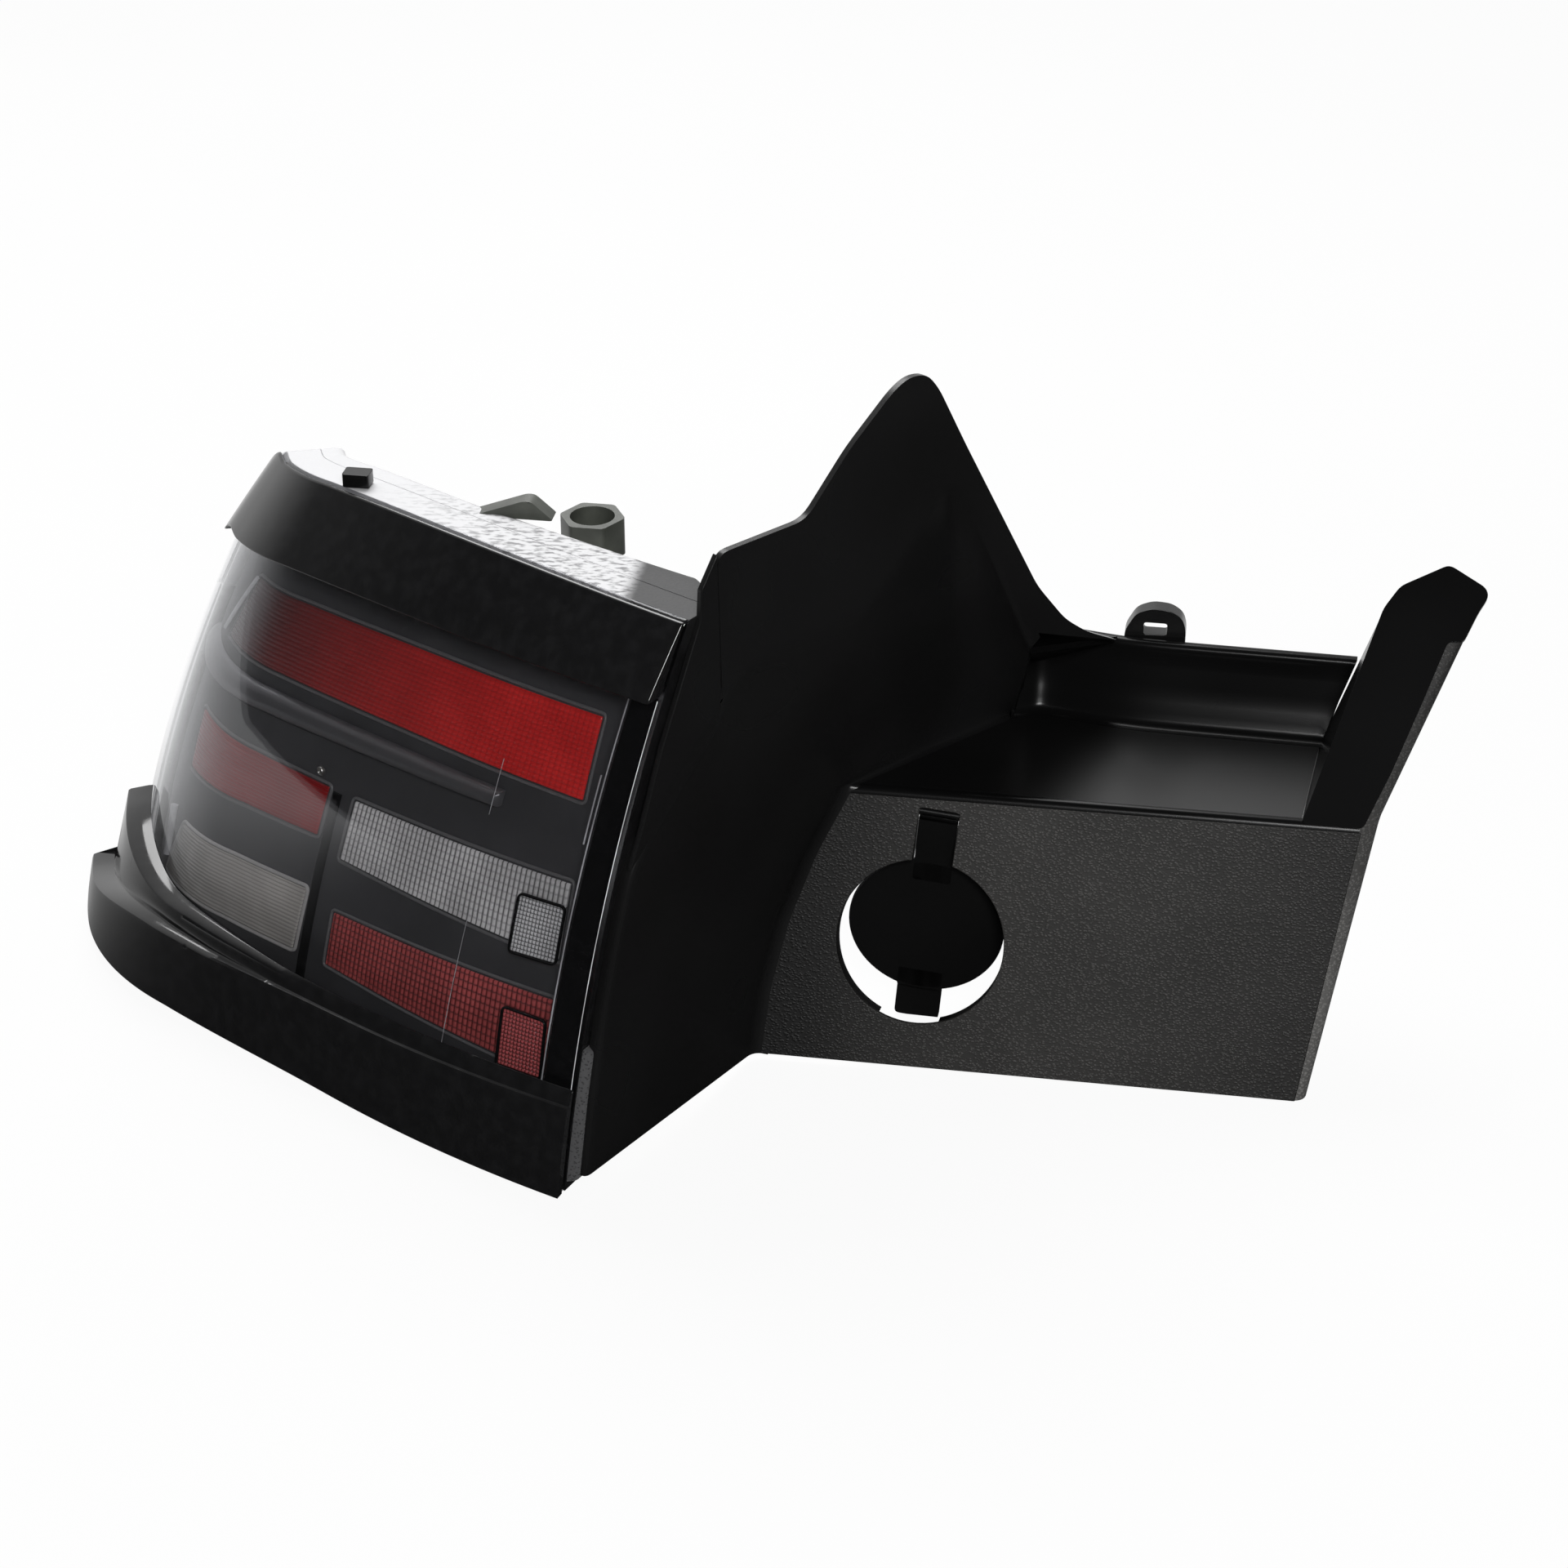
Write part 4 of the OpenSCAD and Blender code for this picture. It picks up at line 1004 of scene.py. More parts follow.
make_piece("bezel_face", bezel_solid(), bezel_grey, ["bezel"], bevel=0.4)
blade, blade_own = unit_solid(BLADE, blade_relief, 90, 12, 12.6, 15.65, 1.4)
make_piece("grey_blade", blade, blade_grey, ["trim_blade"], own=blade_own)
make_unit("tail_optic", UPPER_TAIL, tail_relief, 420, 52, tail_red, "upper_tail_lens", "red_lens")
make_unit("side_optic", SIDE_TAIL, side_relief, 60, 44, side_red, "side_tail_lens", "red_lens")
make_unit("turn_optic", TURN, turn_relief, 80, 48, turn_clear, "turn_lens", "clear_lens")
make_unit("reverse_optic", REVERSE, flute_relief, 300, 30, reverse_clear, "reverse_lens", "clear_lens")
make_unit("fog_optic", FOG, flute_relief, 300, 30, fog_red, "fog_lens", "red_lens")
prism_size = {"front": 12.8, "back": 15.0, "edge": 0.8}
make_unit(
    "reverse_prisms", REVERSE_PRISM, prism_relief, 96, 96, prism_clear, "reverse_prism", "clear_lens",
    **prism_size,
)
make_unit(
    "fog_prisms", FOG_PRISM, prism_relief, 96, 96, prism_red, "fog_prism", "red_lens", **prism_size
)
edged = (UPPER_TAIL, SIDE_TAIL, REVERSE, FOG)
edgings = joined(*[frame_solid(window, 0.9, 1.1, 0.7) for window in edged])
make_piece("unit_edgings", edgings, frame_line, sharp=50)
make_piece("turn_edging", frame_solid(TURN, 0.7, 1.4, 0.9), turn_line, sharp=50)
prisms = (REVERSE_PRISM, FOG_PRISM)
prism_frames = joined(*[frame_solid(window, 0.2, 1.0, 0.6, 13.0) for window in prisms])
make_piece("prism_frames", prism_frames, gloss_black, sharp=50)


# Closing panel

PANEL_HEIGHT = 104.0
PANEL_LEAN = math.radians(20)
WALL = 2.5
BOWL_DEPTH = 14.0
BOWL_WAY = np.array([-0.2, 0.5, -0.84])
SEAM_STEP = 2.7
HOLE_AT = (31.0, -56.5)
HOLE_TURN = math.radians(-5)
HOLE_RADIUS = 31.0
STRAP_HALF = 7.45
HINGE_RISE = 48.5
FLANGE_HEADING = math.radians(49)
FLANGE_LEAN = math.radians(2)


def seam_gap(v):
    """Width of the gap at the seam in millimetres, which closes towards the top."""
    return mixed(4.4, 1.2, v)


FLANGE_AT = beside_seam(1.0, 3.0, seam_gap(1.0) + SEAM_STEP)
FLANGE_ALONG = np.array([math.cos(FLANGE_HEADING), math.sin(FLANGE_HEADING), 0.0])
FLANGE_OUT = np.array([
    math.sin(FLANGE_HEADING) * math.cos(FLANGE_LEAN), -math.cos(FLANGE_HEADING) * math.cos(FLANGE_LEAN),
    math.sin(FLANGE_LEAN),
])
FLANGE_UP = np.cross(FLANGE_OUT, FLANGE_ALONG)


def on_flange(p):
    """Point of the flange: along it, up its face and out of it."""
    p = np.asarray(p, float)
    out = p[..., 2:3] if p.shape[-1] > 2 else 0.0
    return FLANGE_AT + p[..., :1] * FLANGE_ALONG + p[..., 1:2] * FLANGE_UP + out * FLANGE_OUT


def on_panel(p):
    """Point of the leaning panel: x along it, y up its face, z out of it."""
    x, y, z = np.moveaxis(np.asarray(p, float), -1, 0)
    s, c = math.sin(PANEL_LEAN), math.cos(PANEL_LEAN)
    return np.stack([x, y * s - z * c, y * c + z * s], -1)


def panel_left(s):
    """Left edge of the panel at a share down its face: a slope and a bulge to the left."""
    return -29 * s - 6.5 * 4 * s * (1 - s)


def seam_line(v):
    """Edge of the closing panel along the seam."""
    return beside_seam(v, 3.0, seam_gap(np.asarray(v, float)) + SEAM_STEP)


def ridge(s):
    """Edge between flank and panel, at a share down the panel's face."""
    return on_panel(np.stack([panel_left(s), -PANEL_HEIGHT * s, 0 * s], -1))


def bowl_cubic(a):
    """Cubic 6.75 a squared (1 - a), which is 0 at both ends and 1 at its top."""
    return 6.75 * a * a * (1 - a)


RIM = [(7, -37), (19.5, -23), (44.5, -21), (73.5, -21), (96.5, 1), (112, 17), (126, -2), (152.5, -60)]
LEFT_LINE = np.concatenate([seam_line(np.linspace(0.035, 0.62, 5)), on_flange(np.array(RIM, float))])
SHELF_SHARES = np.array([0.12, 0.24, 0.38, 0.5, 0.62, 0.74, 0.86, 1.0])
SHELF_CORNER = np.array([57.0, 66.0, 0.0])
RIGHT_LINE = np.concatenate([ridge(np.linspace(1, 0, 5)), SHELF_SHARES[:, None] * SHELF_CORNER])
LOFT_ROWS = 289


def flank_solid():
    """Smooth sheet from seam and flange to the panel and the shelf, rounded at both sides.

    A row mixes its left and right point and sinks by a cubic in the bowl. At the right it
    turns over the ridge, and at the rim over the flange's edge, by a parabola of 4 mm.
    The wall lies behind it by its normal.
    """
    b = np.linspace(0, 1, LOFT_ROWS)
    left = relaxed(along_line(LEFT_LINE, b), 9)
    right = relaxed(along_line(RIGHT_LINE, b), 3)
    bowl = eased((b - 0.35) / 0.35)[:, None, None]
    width = np.linalg.norm(right - left, axis=1)[:, None, None]

    def inside(a):
        sunk = BOWL_DEPTH * bowl * bowl_cubic(a)[..., None] * BOWL_WAY
        return mixed(left[:, None], right[:, None], a[..., None]) + sunk

    e = np.minimum(4.0 / width[:, :, 0], 0.2)
    main = inside(mixed(e, 1 - e, np.linspace(0, 1, 72)[None, :]))
    t = np.linspace(0, 1, 8)[None, 1:, None]
    over = right[:, None] + np.array([3.2, 0.0, 0.0])
    ridge_turn = (1 - t) ** 2 * main[:, -1:] + 2 * t * (1 - t) * right[:, None] + t ** 2 * over
    tail = over + np.array([2.5, 0.3, -0.5])
    ahead = unit_vectors(np.gradient(left, axis=0))
    on_rim = eased((b - 0.4) / 0.04)[:, None]
    outside = 3.2 * mixed(-FLANGE_OUT, unit_vectors(np.cross(FLANGE_OUT, ahead)), on_rim)
    start = (left + outside)[:, None]
    s = t[:, ::-1]
    rim_turn = (1 - s) ** 2 * main[:, :1] + 2 * s * (1 - s) * left[:, None] + s ** 2 * start
    head = start + (outside * 0.8)[:, None] - 0.5 * on_rim[:, None] * FLANGE_OUT
    front = np.concatenate([head, rim_turn, main, ridge_turn, tail], 1)
    normal = grid_normals(front)
    if np.mean(normal @ FLANGE_OUT) < 0:
        normal = -normal
    return walled(front, front - 2.1 * normal), left


def strip_solid():
    """Narrow sheet between the seam and the flange, mixed across between two lines."""
    a, b = grid_shares(8, 40)
    left = np.concatenate([seam_line(np.array([0.6, 0.8, 1.0])), on_flange(np.array([[1.0, 11.0]]))])
    right = on_flange(np.array([(7.2, -40.0), (8.2, -18.0), (8.2, 2.0), (8.2, 22.0)]))
    front = mixed(along_line(left, b), along_line(right, b), a[..., None])
    front = front - (0.6 * eased((0.12 - b) / 0.12))[..., None] * FLANGE_OUT
    return walled(front, front - WALL * FLANGE_OUT)


def flange_solid(left):
    """Flat star round the bowl, its corners rounded, ending where the sheet turns over."""
    flat = np.stack([(left - FLANGE_AT) @ FLANGE_ALONG, (left - FLANGE_AT) @ FLANGE_UP], 1)
    ahead = unit_vectors(np.gradient(flat, axis=0))
    inner = flat + 3.0 * np.stack([-ahead[:, 1], ahead[:, 0]], 1)
    inner = inner[int(0.43 * LOFT_ROWS)::3][::-1]
    star = np.array([
        (8.2, -34), (8.2, 22), (46.5, 23), (66.5, 43), (86.5, 58.5), (93.5, 61.5), (101.5, 60.5), (107, 54),
        (119.5, 30), (155.5, -36), (170, -54), (181.5, -63), (200, -73)
    ], float)
    before = np.concatenate([inner[-1:], star, inner[:1]])
    rounded = rounded_loop(before, 5.0, 5)[5:-5]
    solid = plate([np.concatenate([rounded, inner])], -WALL, 0.0)
    return placed(solid, on_flange)


def hole_loop():
    """Access opening about its own centre: a circle with the slot of the strap above it."""
    half = STRAP_HALF
    turn = math.degrees(math.asin(half / HOLE_RADIUS))
    arc = circle_points(HOLE_RADIUS, 72, 90 - turn, 90 + turn - 360)
    slot = rounded_loop([(-half, 30), (-half, 50.1), (half, 50.1), (half, 30)], 0.8, 4)[4:-4]
    return np.concatenate([arc, slot])


def in_flap_plane(xy):
    """Loop about the opening's centre, turned with the flap and moved to its place on the panel."""
    s, c = math.sin(HOLE_TURN), math.cos(HOLE_TURN)
    x, y = np.asarray(xy, float).T
    return np.stack([x * c - y * s + HOLE_AT[0], x * s + y * c + HOLE_AT[1]], 1)


def panel_solid():
    """Leaning plate with the access opening, inset where the rounded edges take over."""
    s = np.linspace(0.0, 1.0, 40)
    left = np.stack([panel_left(s) + 3.0, -PANEL_HEIGHT * s], 1)
    left = left[left[:, 1] < -2.6]
    edge = np.concatenate([[(3.0, -2.6)], left, [(172.0, -PANEL_HEIGHT)], [(187.6, -2.6)]])
    return placed(plate([edge, in_flap_plane(hole_loop())], -WALL, 0.0), on_panel)


def panel_edge_solid():
    """Rounded edge between panel and shelf: a parabola from one to the other, carried along x."""
    t = np.linspace(0, 1, 9)[:, None]
    start, end = on_panel(np.array([0.0, -2.6, 0.0])), np.array([0.0, 2.6, 0.0])
    curve = (1 - t) ** 2 * start + t ** 2 * end
    span = np.linspace(2.0, 187.0, 40)[None, :, None] * np.array([1.0, 0, 0])
    front = curve[:, None] + span
    return walled(front, front + np.array([0, 1.4, -1.7]))


SHELF_REAR = np.array([(55, 65), (66, 70), (100, 63), (172, 61)], float)


def shelf_solid():
    """Level plate behind the rounded edge, up to the wall behind it."""
    corner = np.array([(3.2, 2.6)])
    rear = SHELF_REAR + np.array([0.0, 1.0])
    rear[0] += (3.0, 0.0)
    loop = np.concatenate([corner, [(166.0, 2.6)], rear[::-1]])
    return plate([loop], -WALL, 0.0)


def back_wall_solid():
    """Leaning wall with a rounded foot and a thick lip, one profile carried along the rear edge."""
    path = relaxed(along_line(SHELF_REAR, np.linspace(0, 1, 90)), 11)
    lean = math.tan(PANEL_LEAN)
    front = [(-5.0, 0.05), (-3.0, 0.3), (-1.2, 1.2), (0.2, 3.0), (1.0, 5.5)]
    front += [(z * lean, z) for z in (9.0, 15.0, 21.0, 26.0)]
    lip = [
        (28 * lean - 0.9, 27.2), (29 * lean - 1.1, 28.6), (30 * lean - 0.6, 29.8),
        (30 * lean + 1.6, 30.3), (30 * lean + 3.2, 29.6), (29 * lean + 3.3, 27.5), (26 * lean + 2.5, 25.5),
    ]
    back = [(12 * lean + 2.5, 12.0), (2.5, -1.0), (2.0, -2.4), (-4.0, -2.4)]
    profile = np.array(front + lip + back)
    along = np.linspace(0, 1, 90)[:, None]
    slant = 11 * eased((along - 0.72) / 0.28) * clamped(profile[None, :, 1] / 30)
    rings = np.stack([
        path[:, :1] + slant, path[:, 1:2] + profile[None, :, 0], 0 * along + profile[None, :, 1]
    ], -1)
    return swept(rings)


POST = [
    (166, -1), (188, -1), (197, 21.5), (206.5, 49), (214, 72), (219.5, 72), (224.3, 84), (227.5, 90),
    (226.4, 93.5), (212.7, 101.5), (195.6, 92), (190, 83),
]


def on_post(p):
    """Point of the post, which leans back by 45 degrees."""
    x, y, z = np.moveaxis(np.asarray(p, float), -1, 0)
    k = math.sqrt(0.5)
    return np.stack([x, (y - z) * k, (y + z) * k], -1)


def post_solid():
    """Plate with the post's outline, its corners rounded."""
    loop = rounded_loop(POST, 2.4, 5)
    return placed(plate([loop], -WALL, 0.0), on_post)


def gusset_solid():
    """Thin triangle that closes the angle between shelf, wall and post."""
    a, b = np.array([166.0, 0, -1]), np.array([172.0, 62, -1])
    c = np.array([190.0, 59, 57])
    s, t = grid_shares(10, 10)
    front = mixed(mixed(a, b, s[..., None]), c + 0 * s[..., None], t[..., None] * 0.995)
    return walled(front, front + np.array([WALL, 0, 0]))


def outer_return_solid():
    """Narrow grained side along panel and post, between an inner and an outer line."""
    first = on_panel(np.array([171.0, -PANEL_HEIGHT, 0.0]))
    inner = np.stack([first, np.array([187.0, 0, 0]), np.array([213.0, 50.8, 50.8])])
    shift = np.array([(5, 4, 0), (7.15, 7.7, 0), (7, 2.5, 0)], float)
    a, b = grid_shares(8, 60)
    line, out = along_line(inner, b), along_line(inner + shift, b)
    line = mixed(line, out, a[..., None])
    curve = (1.2 * np.sin(np.pi * a))[..., None] * np.array([0.8, -0.6, 0.0])
    return walled(line + curve, line + np.array([-1.6, 1.2, 0]))


def top_patch_solid():
    """Small web between the end of the flange and the back wall."""
    a = on_flange(np.array(RIM[7] + (0.0,)))
    b, c = np.array([61.5, 76, 19]), np.array([93.0, 75.5, 30.5])
    s, t = grid_shares(8, 8)
    front = mixed(mixed(b, c, s[..., None]), a + 0 * s[..., None], t[..., None] * 0.99)
    return walled(front, front - np.array([0, 0, WALL]))


def corner_web_solid():
    """Curved web between the end of the bowl and the end of the back wall.

    Its lower edge sinks by the bowl's own cubic, so that the two meet.
    """
    tip = on_flange(np.array(RIM[7] + (-0.6,)))
    s, t = grid_shares(16, 16)
    low, high = np.array([57.5, 66.5, -0.5]), np.array([61.5, 77.5, 30.0])
    end = mixed(low, high, t[..., None])
    front = mixed(tip, end, mixed(0.02, 1.0, s)[..., None])
    bulge = 2.5 * np.sin(np.pi * s) * np.sin(np.pi * t)
    sunk = BOWL_DEPTH * bowl_cubic(s) * (1 - t) ** 2
    front = front + bulge[..., None] * np.array([-0.5, 0.8, 0.0]) + sunk[..., None] * BOWL_WAY
    return walled(front, front + np.array([-1.2, 1.8, 0]))


def ears_solid():
    """Two flat ears behind the flank, each with its screw hole."""
    parts = []
    for at, reach in ((EAR_HIGH, 66), (EAR_LOW, 62)):
        loop = rounded_loop([(-9, -9), (reach, -9), (reach, 9), (-9, 9)], 4.0, 5)
        parts.append(upended(plate([loop, circle_points(2.7, 24)], 0.2, 3.2), at))
    return joined(*parts)


def on_hinge(p):
    """Point near the hinge: x along the pin, y up the strap, z out of the panel."""
    x, y, z = np.moveaxis(np.asarray(p, float), -1, 0)
    flat = in_flap_plane(np.stack([x.ravel(), y.ravel() + HINGE_RISE], 1))
    return on_panel(np.stack([flat[:, 0], flat[:, 1], z.ravel() - 3.0], 1)).reshape(np.shape(p))


def collar_solid():
    """Wall behind the opening, open at the strap and at the latch, and two lugs for the pin."""
    outside = HOLE_RADIUS + 2.2
    ring = [(HOLE_RADIUS, -9), (outside, -9), (outside, -2.2), (HOLE_RADIUS, -2.2)]
    right = turned_ring(ring, 40, -69, 74)
    left = turned_ring(ring, 40, 106, 249)

    def behind(p):
        flat = in_flap_plane(p[:, :2])
        return on_panel(np.column_stack([flat, p[:, 2]]))

    cheeks = [
        placed(brick((low, 29.5, -9), (high, 45.0, -2.2), 0.3), behind)
        for low, high in ((-9.2, -STRAP_HALF), (STRAP_HALF, 9.2))
    ]
    lugs = [placed(brick((x - 2, -3, -2.6), (x + 2, 3, 1.6), 1.2), on_hinge) for x in (-9.8, 9.8)]
    return joined(placed(right, behind), placed(left, behind), *cheeks, *lugs)


flank, flank_left = flank_solid()
panel_nodes = ["closing_panel"]
make_piece("flank_sheet", flank, flank_lit_black, panel_nodes, sharp=55)
make_piece("seam_strip", strip_solid(), flank_lit_black, panel_nodes, bevel=0.5)
make_piece("star_flange", flange_solid(flank_left), flank_lit_black, panel_nodes, bevel=0.6)
make_piece("grained_panel", panel_solid(), grained_black, panel_nodes, bevel=0.35)
make_piece("panel_edge", panel_edge_solid(), wall_black, panel_nodes)
make_piece("shelf", shelf_solid(), shelf_black, panel_nodes)
make_piece("back_wall", back_wall_solid(), wall_black, panel_nodes, sharp=50)
make_piece("corner_post", post_solid(), wall_black, panel_nodes, bevel=0.9)
make_piece("post_gusset", gusset_solid(), wall_black, panel_nodes)
make_piece("outer_return", outer_return_solid(), sheen_black, panel_nodes, bevel=0.5)
make_piece("top_web", top_patch_solid(), wall_black, panel_nodes)
make_piece("corner_web", corner_web_solid(), wall_black, panel_nodes)
make_piece("screw_ears", ears_solid(), smooth_black, panel_nodes, bevel=0.4)
make_piece("opening_collar", collar_solid(), flap_black, panel_nodes, bevel=0.3)


# Access flap

FLAP_OPEN = math.radians(22)


def on_flap(p):
    """Point of the flap, which hangs open about its hinge pin."""
    x, y, z = np.moveaxis(np.asarray(p, float), -1, 0)
    s, c = math.sin(FLAP_OPEN), math.cos(FLAP_OPEN)
    return on_hinge(np.stack([x, y * c - z * s, y * s + z * c], -1))


def flap_solid():
    """Disc with a rounded rim, strap, hinge pin and stepped latch tab."""
    disc = turned([(0, 0.6), (28.9, 0.6), (29.4, 1.1), (29.4, 2.2), (28.9, 2.8), (28.0, 3.0), (0, 3.0)], 72)
    disc = placed(disc, lambda p: p + np.array([0, -HINGE_RISE, 0]))
    strap = rounded_loop([(-7.2, -28.5), (7.2, -28.5), (7.2, 0), (-7.2, 0)], 1.0, 4)
    hook = brick((-7.2, -2, 0), (7.2, 0, 3), 0.5)
    pin = placed(turned([(0, -10.2), (1.6, -10.2), (1.6, 10.2), (0, 10.2)], 20), lambda p: p[:, [2, 0, 1]])
    stem = brick((-8.5, -77, -2.5), (8.5, -69, 3.0), 1.0)
    tab = rounded_loop([(-8.5, -92.8), (8.5, -92.8), (8.5, -74.5), (-8.5, -74.5)], 2.0, 5)
    whole = joined(disc, plate([strap], 0.6, 3.0), hook, pin, stem, plate([tab], -2.5, -0.1))
    return placed(whole, on_flap)


make_piece("flap_lid", flap_solid(), flap_black, ["access_flap"], "flap", bevel=0.25)


# Housing and what it carries

HOUSING_DEPTH = 58.0
HOUSING_RIM = 14.2
HOUSING_WALL = 2.5
PAD_DEPTH = HOUSING_DEPTH + 5.0


def housing_depth(u, v):
    """Depth of the housing's back: all of it in the middle, less towards every edge."""
    edge = mixed(30.0, 24.0, clamped(u / 0.35))
    rise = eased(v / 0.06) * eased((1 - v) / 0.2) * mixed(0.3, 1.0, eased(u / 0.16))
    return mixed(edge, HOUSING_DEPTH, rise * mixed(1.0, 0.1, eased((u - 0.78) / 0.2)))


def housing_shell():
    """Tray behind the lens: outer and inner grid with a rounded lip and walls to the rim.

    A drop of 60 in the lip stands for the rim, and one of 30 for half the way down to it.
    """
    lip = [(0, 60), (0, 30), (0, 4), (0.5, 1.9), (1.6, 0.6), (3.4, 0)]
    u, drop_u = lipped(110, LENS_ROUND, lip)
    v, drop_v = lipped(60, LENS_HEIGHT, lip)
    drop = np.maximum(drop_u[None, :], drop_v[:, None])

    def wall(inset):
        uu = inset_round(inset, u)[None, :] + 0 * drop
        vv = inset_up(inset, v)[:, None] + 0 * drop
        full = housing_depth(uu, vv) - inset
        side = np.where(drop >= 30, mixed(HOUSING_RIM, full - 4, 0.5), full - drop)
        depth = np.maximum(np.where(drop >= 60, HOUSING_RIM, side), HOUSING_RIM)
        end = 0.065 * eased((vv - 0.8) / 0.15) * clamped((depth - RIM_DEPTH) / 16)
        return shell_skin(mixed(uu + end, uu, clamped(uu / 0.5)), vv, depth)

    return walled(wall(0.0), wall(HOUSING_WALL))


def boss_solid(at, radius, drop, bore=0.0):
    """Round boss along +y that ends in its seat, with a cut rim, and a bore where one is given."""
    if bore:
        ring = [(bore, -drop + 4), (radius, -drop + 4), (radius, -0.6), (radius - 0.6, 0), (bore, 0)]
        solid = turned_ring(ring, 48)
    else:
        solid = turned([(0, -drop), (radius, -drop), (radius, -0.6), (radius - 0.6, 0), (0, 0)], 48)
    return upended(solid, at)


def on_back(u, v, depth):
    """Frame on the back of the housing: y away from the lens and x along it."""
    centre = lens_skin(u, v, depth)
    turn = math.radians(mixed(edge_heading(LOW_EDGE, u), edge_heading(HIGH_EDGE, u), v) - 180)

    def place(p):
        x, y, z = p.T
        return centre + np.stack([
            x * math.cos(turn) - y * math.sin(turn), x * math.sin(turn) + y * math.cos(turn), z
        ], 1)

    return place


def housing_solid():
    """Housing with the bosses of studs, pin and ears, the seats on its back and the holder's seat."""
    bosses = [boss_solid(at, 10.0, 16.0) for at in (UPPER_STUD - GASKET, LOWER_STUD - GASKET, LOCATING_PIN)]
    bosses += [boss_solid(at, 8.0, 16.0, 2.4) for at in (EAR_HIGH, EAR_LOW)]
    pad = placed(brick((-18, -11, -9), (18, 11, 0), 2.0), along_y)
    pad = placed(pad, on_back(0.4, 0.5, PAD_DEPTH))
    vent = placed(turned([(0, -9), (10, -9), (10, 0), (0, 0)]), along_y)
    vent = placed(vent, on_back(0.52, 0.62, PAD_DEPTH))
    seat = placed(turned([(0, -22), (9, -22), (9, 0), (0, 0)]), lambda p: p + HOLDER)
    web = placed(brick((-5, -22, -20), (5, 0, -2), 1.0), lambda p: p + HOLDER)
    return joined(housing_shell(), *bosses, pad, vent, seat, web)


def edge_gusset_solid():
    """Low sloping rib on the upper edge of the housing."""
    slope = rounded_loop([(-134, 103), (-115, 110), (-112, 110), (-104, 103)], 1.5, 4)
    return placed(plate([slope], -8.0, -1.0), along_y)


make_piece("lamp_housing", housing_solid(), housing_grey, ["housing"], bevel=0.3, sharp=40)
# Painted shade: the rib on the pale housing takes the darker holder grey.
make_piece("edge_gusset", edge_gusset_solid(), holder_grey, ["housing"], bevel=0.5)


def foam_solid():
    """Foam strip beside the seam, full in the middle and rounded at its edges."""
    a, b = grid_shares(14, 80)
    v, depth = mixed(0.02, 0.28, b), mixed(2.0, 12.0, a)
    out = seam_gap(v)
    round_off = (1 - (2 * a - 1) ** 6) * (1 - (2 * b - 1) ** 40)
    outer = beside_seam(v, depth, mixed(0.4, out, round_off ** 0.5))
    return walled(outer, beside_seam(v, depth, 0.2 + 0 * out))


def gaskets_solid():
    """Two flat rings with rounded edges, pressed between the studs' bosses and the car body."""
    ring = [(6.0, 0.3), (6.3, 0), (9.7, 0), (10, 0.3), (10, 2.7), (9.7, 3), (6.3, 3), (6.0, 2.7)]
    return joined(*[upended(turned_ring(ring, 64), at - GASKET) for at in (UPPER_STUD, LOWER_STUD)])


foam_strip = make_piece("foam_strip", foam_solid(), foam, ["seam_foam"], sharp=80)
gaskets = make_piece("stud_gaskets", gaskets_solid(), rubber, ["body_gasket"], sharp=50)


def peg_solid():
    """Black peg on the upper edge of the cover."""
    at = shell_skin(0.515, 1.0, 5.5)
    return placed(brick((-5, -3.5, 0.6), (5, 3.5, 5.6), 1.0), lambda p: p + at)


make_piece("edge_peg", peg_solid(), smooth_black, ["top_peg"], bevel=0.5)


def holder_solid():
    """Hexagonal holder with rounded corners and a round recess."""
    six = rounded_loop(circle_points(12.0, 6), 1.6, 5)
    wall = plate([six, circle_points(8.0, 40)], 5.0, 14.0)
    floor = plate([six], 0.0, 5.0)
    return placed(joined(wall, floor), lambda p: p + HOLDER)


make_piece("hex_holder", holder_solid(), holder_grey, ["bulb_holder"], bevel=0.4)


def clip_solid():
    """Clip behind the back wall: rounded head and a slot."""
    head = [(0, 0), (23, 0), (23, 17), (21.5, 21.5), (17, 24.5), (10, 25), (4, 22.5), (0, 15)]
    slot = [(7, 14), (16, 14), (16, 19), (7, 19)]
    flat = plate([rounded_loop(head, 2.5, 5), rounded_loop(slot, 1.2, 4)], -7.0, 0.0)
    return upended(flat, (95.5, 84.9, 17.0))


make_piece("rear_clip", clip_solid(), smooth_black, ["retaining_clip"], bevel=0.5)


# Small trim behind the lens, with painted shade and painted highlights

RING_AT = (0.4438, 0.5024)
GAP_SHADE = ((0.4065, 0.07), (0.4065, 0.478), (0.4215, 0.07), (0.4215, 0.478))


def ring_screw_solid():
    """Small ring on the bezel beside the side unit."""
    solid = turned_ring([(0.9, 0), (1.8, 0), (1.9, 1.0), (1.6, 1.5), (1.1, 1.5), (0.9, 1.1)], 32)
    centre = lens_skin(*RING_AT, 15.6 - step_out(RING_AT[0]))
    out = unit_vectors(lens_skin(*RING_AT, 10.0) - lens_skin(*RING_AT, 11.0))
    side = unit_vectors(np.cross(np.array([0, 0, 1.0]), out))
    up = np.cross(out, side)
    return placed(solid, lambda p: centre + p[:, :1] * side + p[:, 1:2] * up + p[:, 2:] * out)


def line_cord(first, last, depth, radius):
    """Straight rib between two places on the lamp, given as shares round and up."""
    share = np.linspace(0, 1, 24)
    u, v = mixed(first[0], last[0], share), mixed(first[1], last[1], share)
    return lens_cord(u, v, depth - step_out(u), radius)
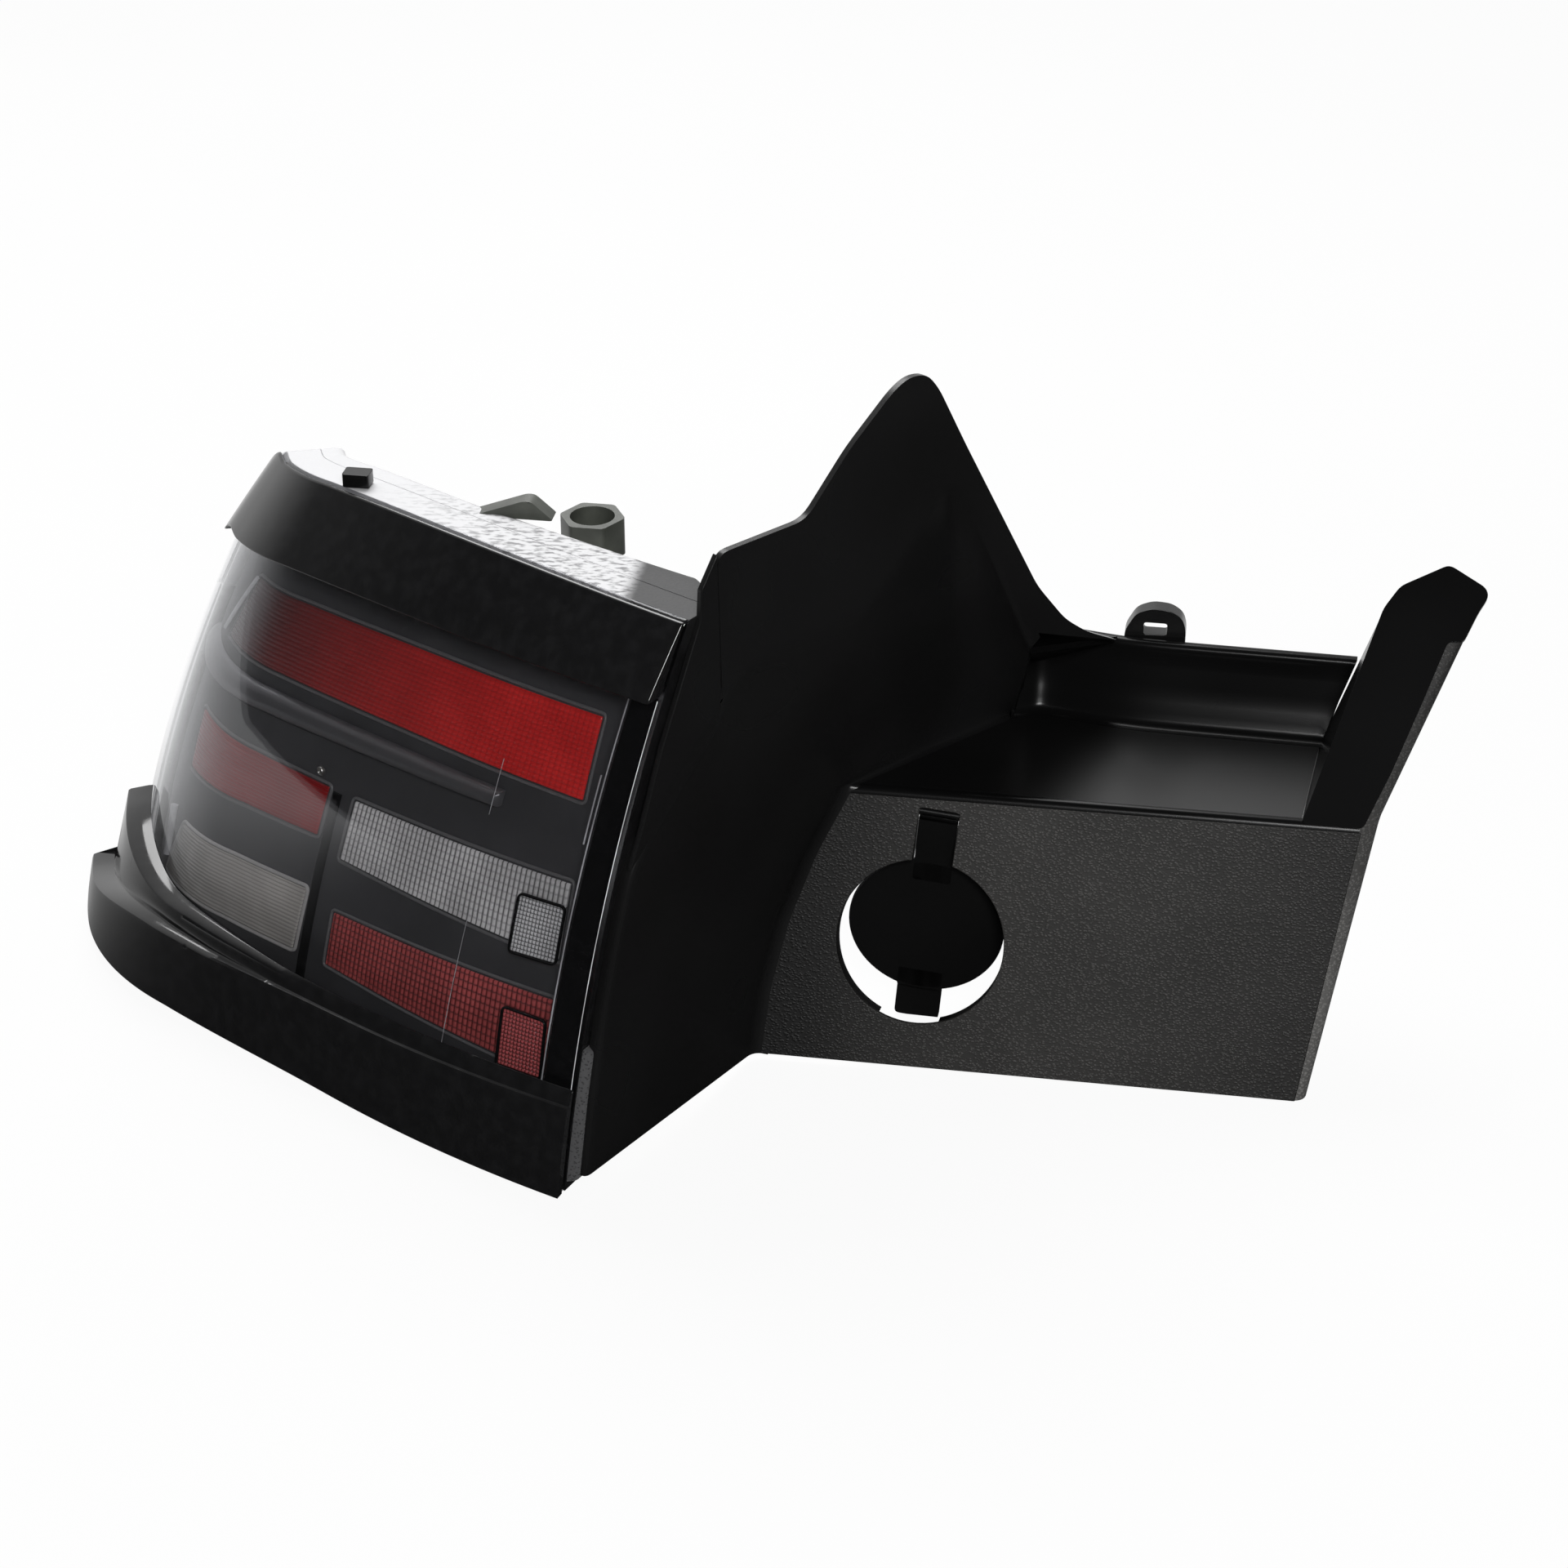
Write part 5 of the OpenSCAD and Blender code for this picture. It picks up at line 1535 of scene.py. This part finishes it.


# Ends, depth and radius of each bright line, a painted highlight
GLINTS = [
    ((0.7701, 0.251), (0.7652, 0.15), 14.4, 1.5),
    ((0.7715, 0.6115), (0.7, 0.7434), 15.0, 0.8),
    ((0.0501, 0.7293), (0.0496, 0.6142), 3.6, 0.3),
    ((0.168, 0.43), (0.172, 0.135), 3.4, 0.11),
    ((0.174, 0.695), (0.173, 0.6), 3.4, 0.11),
    ((0.0035, 0.875), (0.0035, 0.205), 0.3, 0.16),
]

make_piece("ring_screw", ring_screw_solid(), zinc_steel, sharp=40)
# Painted shadow: a gloss black bar in the gap beside the turn and side units, where there is only shade.
gap_bar, gap_own = unit_solid(GAP_SHADE, level_relief, 8, 40, 15.3, 16.6, 0.6)
make_piece("gap_shade_bar", gap_bar, gloss_black, own=gap_own)
# Pale ribs that stand for painted highlights on the lens edges.
glints = joined(*[line_cord(*glint) for glint in GLINTS])
make_piece("glint_lines", glints, glint_white, sharp=60)


# Finishes of the nodes that keep their shape

NODE_FINISHES = {
    reflector: ["upper_tail_tray", "side_tail_tray", "turn_tray", "reverse_tray", "fog_tray"],
    board_green: ["upper_tail_board", "side_tail_board", "turn_board", "reverse_board", "fog_board"],
    chip_yellow: ["light_chips"],
    black_plastic: ["driver_unit", "connector_socket", "vent_cap", "locating_pin"],
    contact_metal: ["contact_pins"],
    zinc_steel: ["stud_upper", "stud_lower", "panel_screws"],
}
for finish, names in NODE_FINISHES.items():
    for name in names:
        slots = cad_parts[name].material_slots
        for k in range(len(slots)):
            slots[k].link = "OBJECT"
            slots[k].material = finish


# Studio

FLOOR_GAP = 0.002
FLOOR_REACH = 3.0
FLOOR_WHITE = 0.93
CAMERA_PLACE = (0.2533, -1.0417, 0.5515)
CAMERA_TURN = math.radians(9)
CAMERA_TILT = math.radians(30)
CAMERA_LENS, CAMERA_SENSOR = 75.0, 36.0

# Place, side and power of each square soft lamp
SOFTBOXES = {
    "softbox_top": ((-0.3, 0.8, 1.3), 1.0, 24.0),
    "softbox_front": ((0.55, -1.76, 1.21), 0.5, 36.0),
}


def studio_world():
    """White to the camera. For light, a studio that is bright behind and to the left of the part."""
    world = bpy.data.worlds.new("studio")
    bpy.context.scene.world = world
    world.use_nodes = True
    n = Nodes(world.node_tree)
    way = n.node("ShaderNodeTexCoord")
    x, y = (n.node("ShaderNodeSeparateXYZ", {}, {"Vector": way}, output=k) for k in (0, 1))
    shine = n.range(y, -0.12, 0.55, 0.02, 1.0) * n.range(x, 0.3, 0.75, 1.0, 0.03)
    lit = n.node("ShaderNodeBackground", {}, {"Color": (1.0, 1.0, 1.0), "Strength": shine})
    seen = n.node("ShaderNodeBackground", {}, {"Color": (1.0, 1.0, 1.0)})
    n.end("ShaderNodeOutputWorld", n.blend(n.ray("Is Camera Ray"), lit, seen))


def floor_finish():
    """Pale floor: nearly white to the camera, and white behind and to the left in reflections."""
    f = Finish("floor_pale", Roughness=0.8, Specular_IOR_Level=0.1)
    x, y = f.coordinate(0), f.coordinate(1)
    left = f.range(y - 0.35 * x, -0.04, 0.3, 0.02, 1.0)
    right = f.range(y, 0.06, 0.13) * f.range(x, 0.2, 0.3, 0.0, 0.3)
    clouds = f.range(f.grain(300.0), 0.3, 0.7)
    f.set(Base_Color=f.shades(clouds, (0.62, 0.62, 0.62), (0.66, 0.66, 0.66)))
    shine = f.node("ShaderNodeEmission", {}, {"Strength": f.larger(left, right)})
    mirrored = f.larger(f.ray("Is Glossy Ray"), f.ray("Is Transmission Ray"))
    unseen = f.blend(mirrored, f.surface, shine)
    white = f.node("ShaderNodeEmission")
    f.give(f.output, {0: f.blend(FLOOR_WHITE * f.ray("Is Camera Ray"), unseen, white)})
    return f


def studio_floor():
    """Plain floor just under the part."""
    a, b = grid_shares(12, 12)
    x, y = mixed(-FLOOR_REACH, FLOOR_REACH, a), mixed(-FLOOR_REACH, FLOOR_REACH, b)
    points = np.stack([x, y, cad_box[0][2] - FLOOR_GAP + 0 * a], -1)
    mesh = bpy.data.meshes.new("pale_floor")
    mesh.from_pydata(points.reshape(-1, 3).tolist(), [], grid_faces(12, 12).tolist())
    mesh.materials.append(floor_finish().material)
    floor = bpy.data.objects.new("pale_floor", mesh)
    bpy.context.scene.collection.objects.link(floor)


def facing_back(place, back):
    """Place of a lamp or camera, its z axis turned along a direction."""
    return Matrix.Translation(place) @ back.to_track_quat("Z", "Y").to_matrix().to_4x4()


def studio_lamp(name, place, side, watts):
    """Square soft lamp that faces the part's origin."""
    light = bpy.data.lights.new(name, "AREA")
    light.shape, light.energy = "RECTANGLE", watts
    light.size = light.size_y = side
    lamp = bpy.data.objects.new(name, light)
    bpy.context.scene.collection.objects.link(lamp)
    lamp.matrix_world = facing_back(place, Vector(place))


def photo_camera():
    """Long lens from the front, a little to the right, looking down."""
    data = bpy.data.cameras.new("photo_camera")
    data.lens, data.sensor_width = CAMERA_LENS, CAMERA_SENSOR
    data.clip_start, data.clip_end = 0.05, 50.0
    camera = bpy.data.objects.new("photo_camera", data)
    bpy.context.scene.collection.objects.link(camera)
    level = math.cos(CAMERA_TILT)
    back = (math.sin(CAMERA_TURN) * level, -math.cos(CAMERA_TURN) * level, math.sin(CAMERA_TILT))
    camera.matrix_world = facing_back(CAMERA_PLACE, Vector(back))
    bpy.context.scene.camera = camera


studio_world()
studio_floor()
for name, (place, side, watts) in SOFTBOXES.items():
    studio_lamp(name, place, side, watts)
photo_camera()
bpy.context.scene.view_settings.view_transform = "Standard"
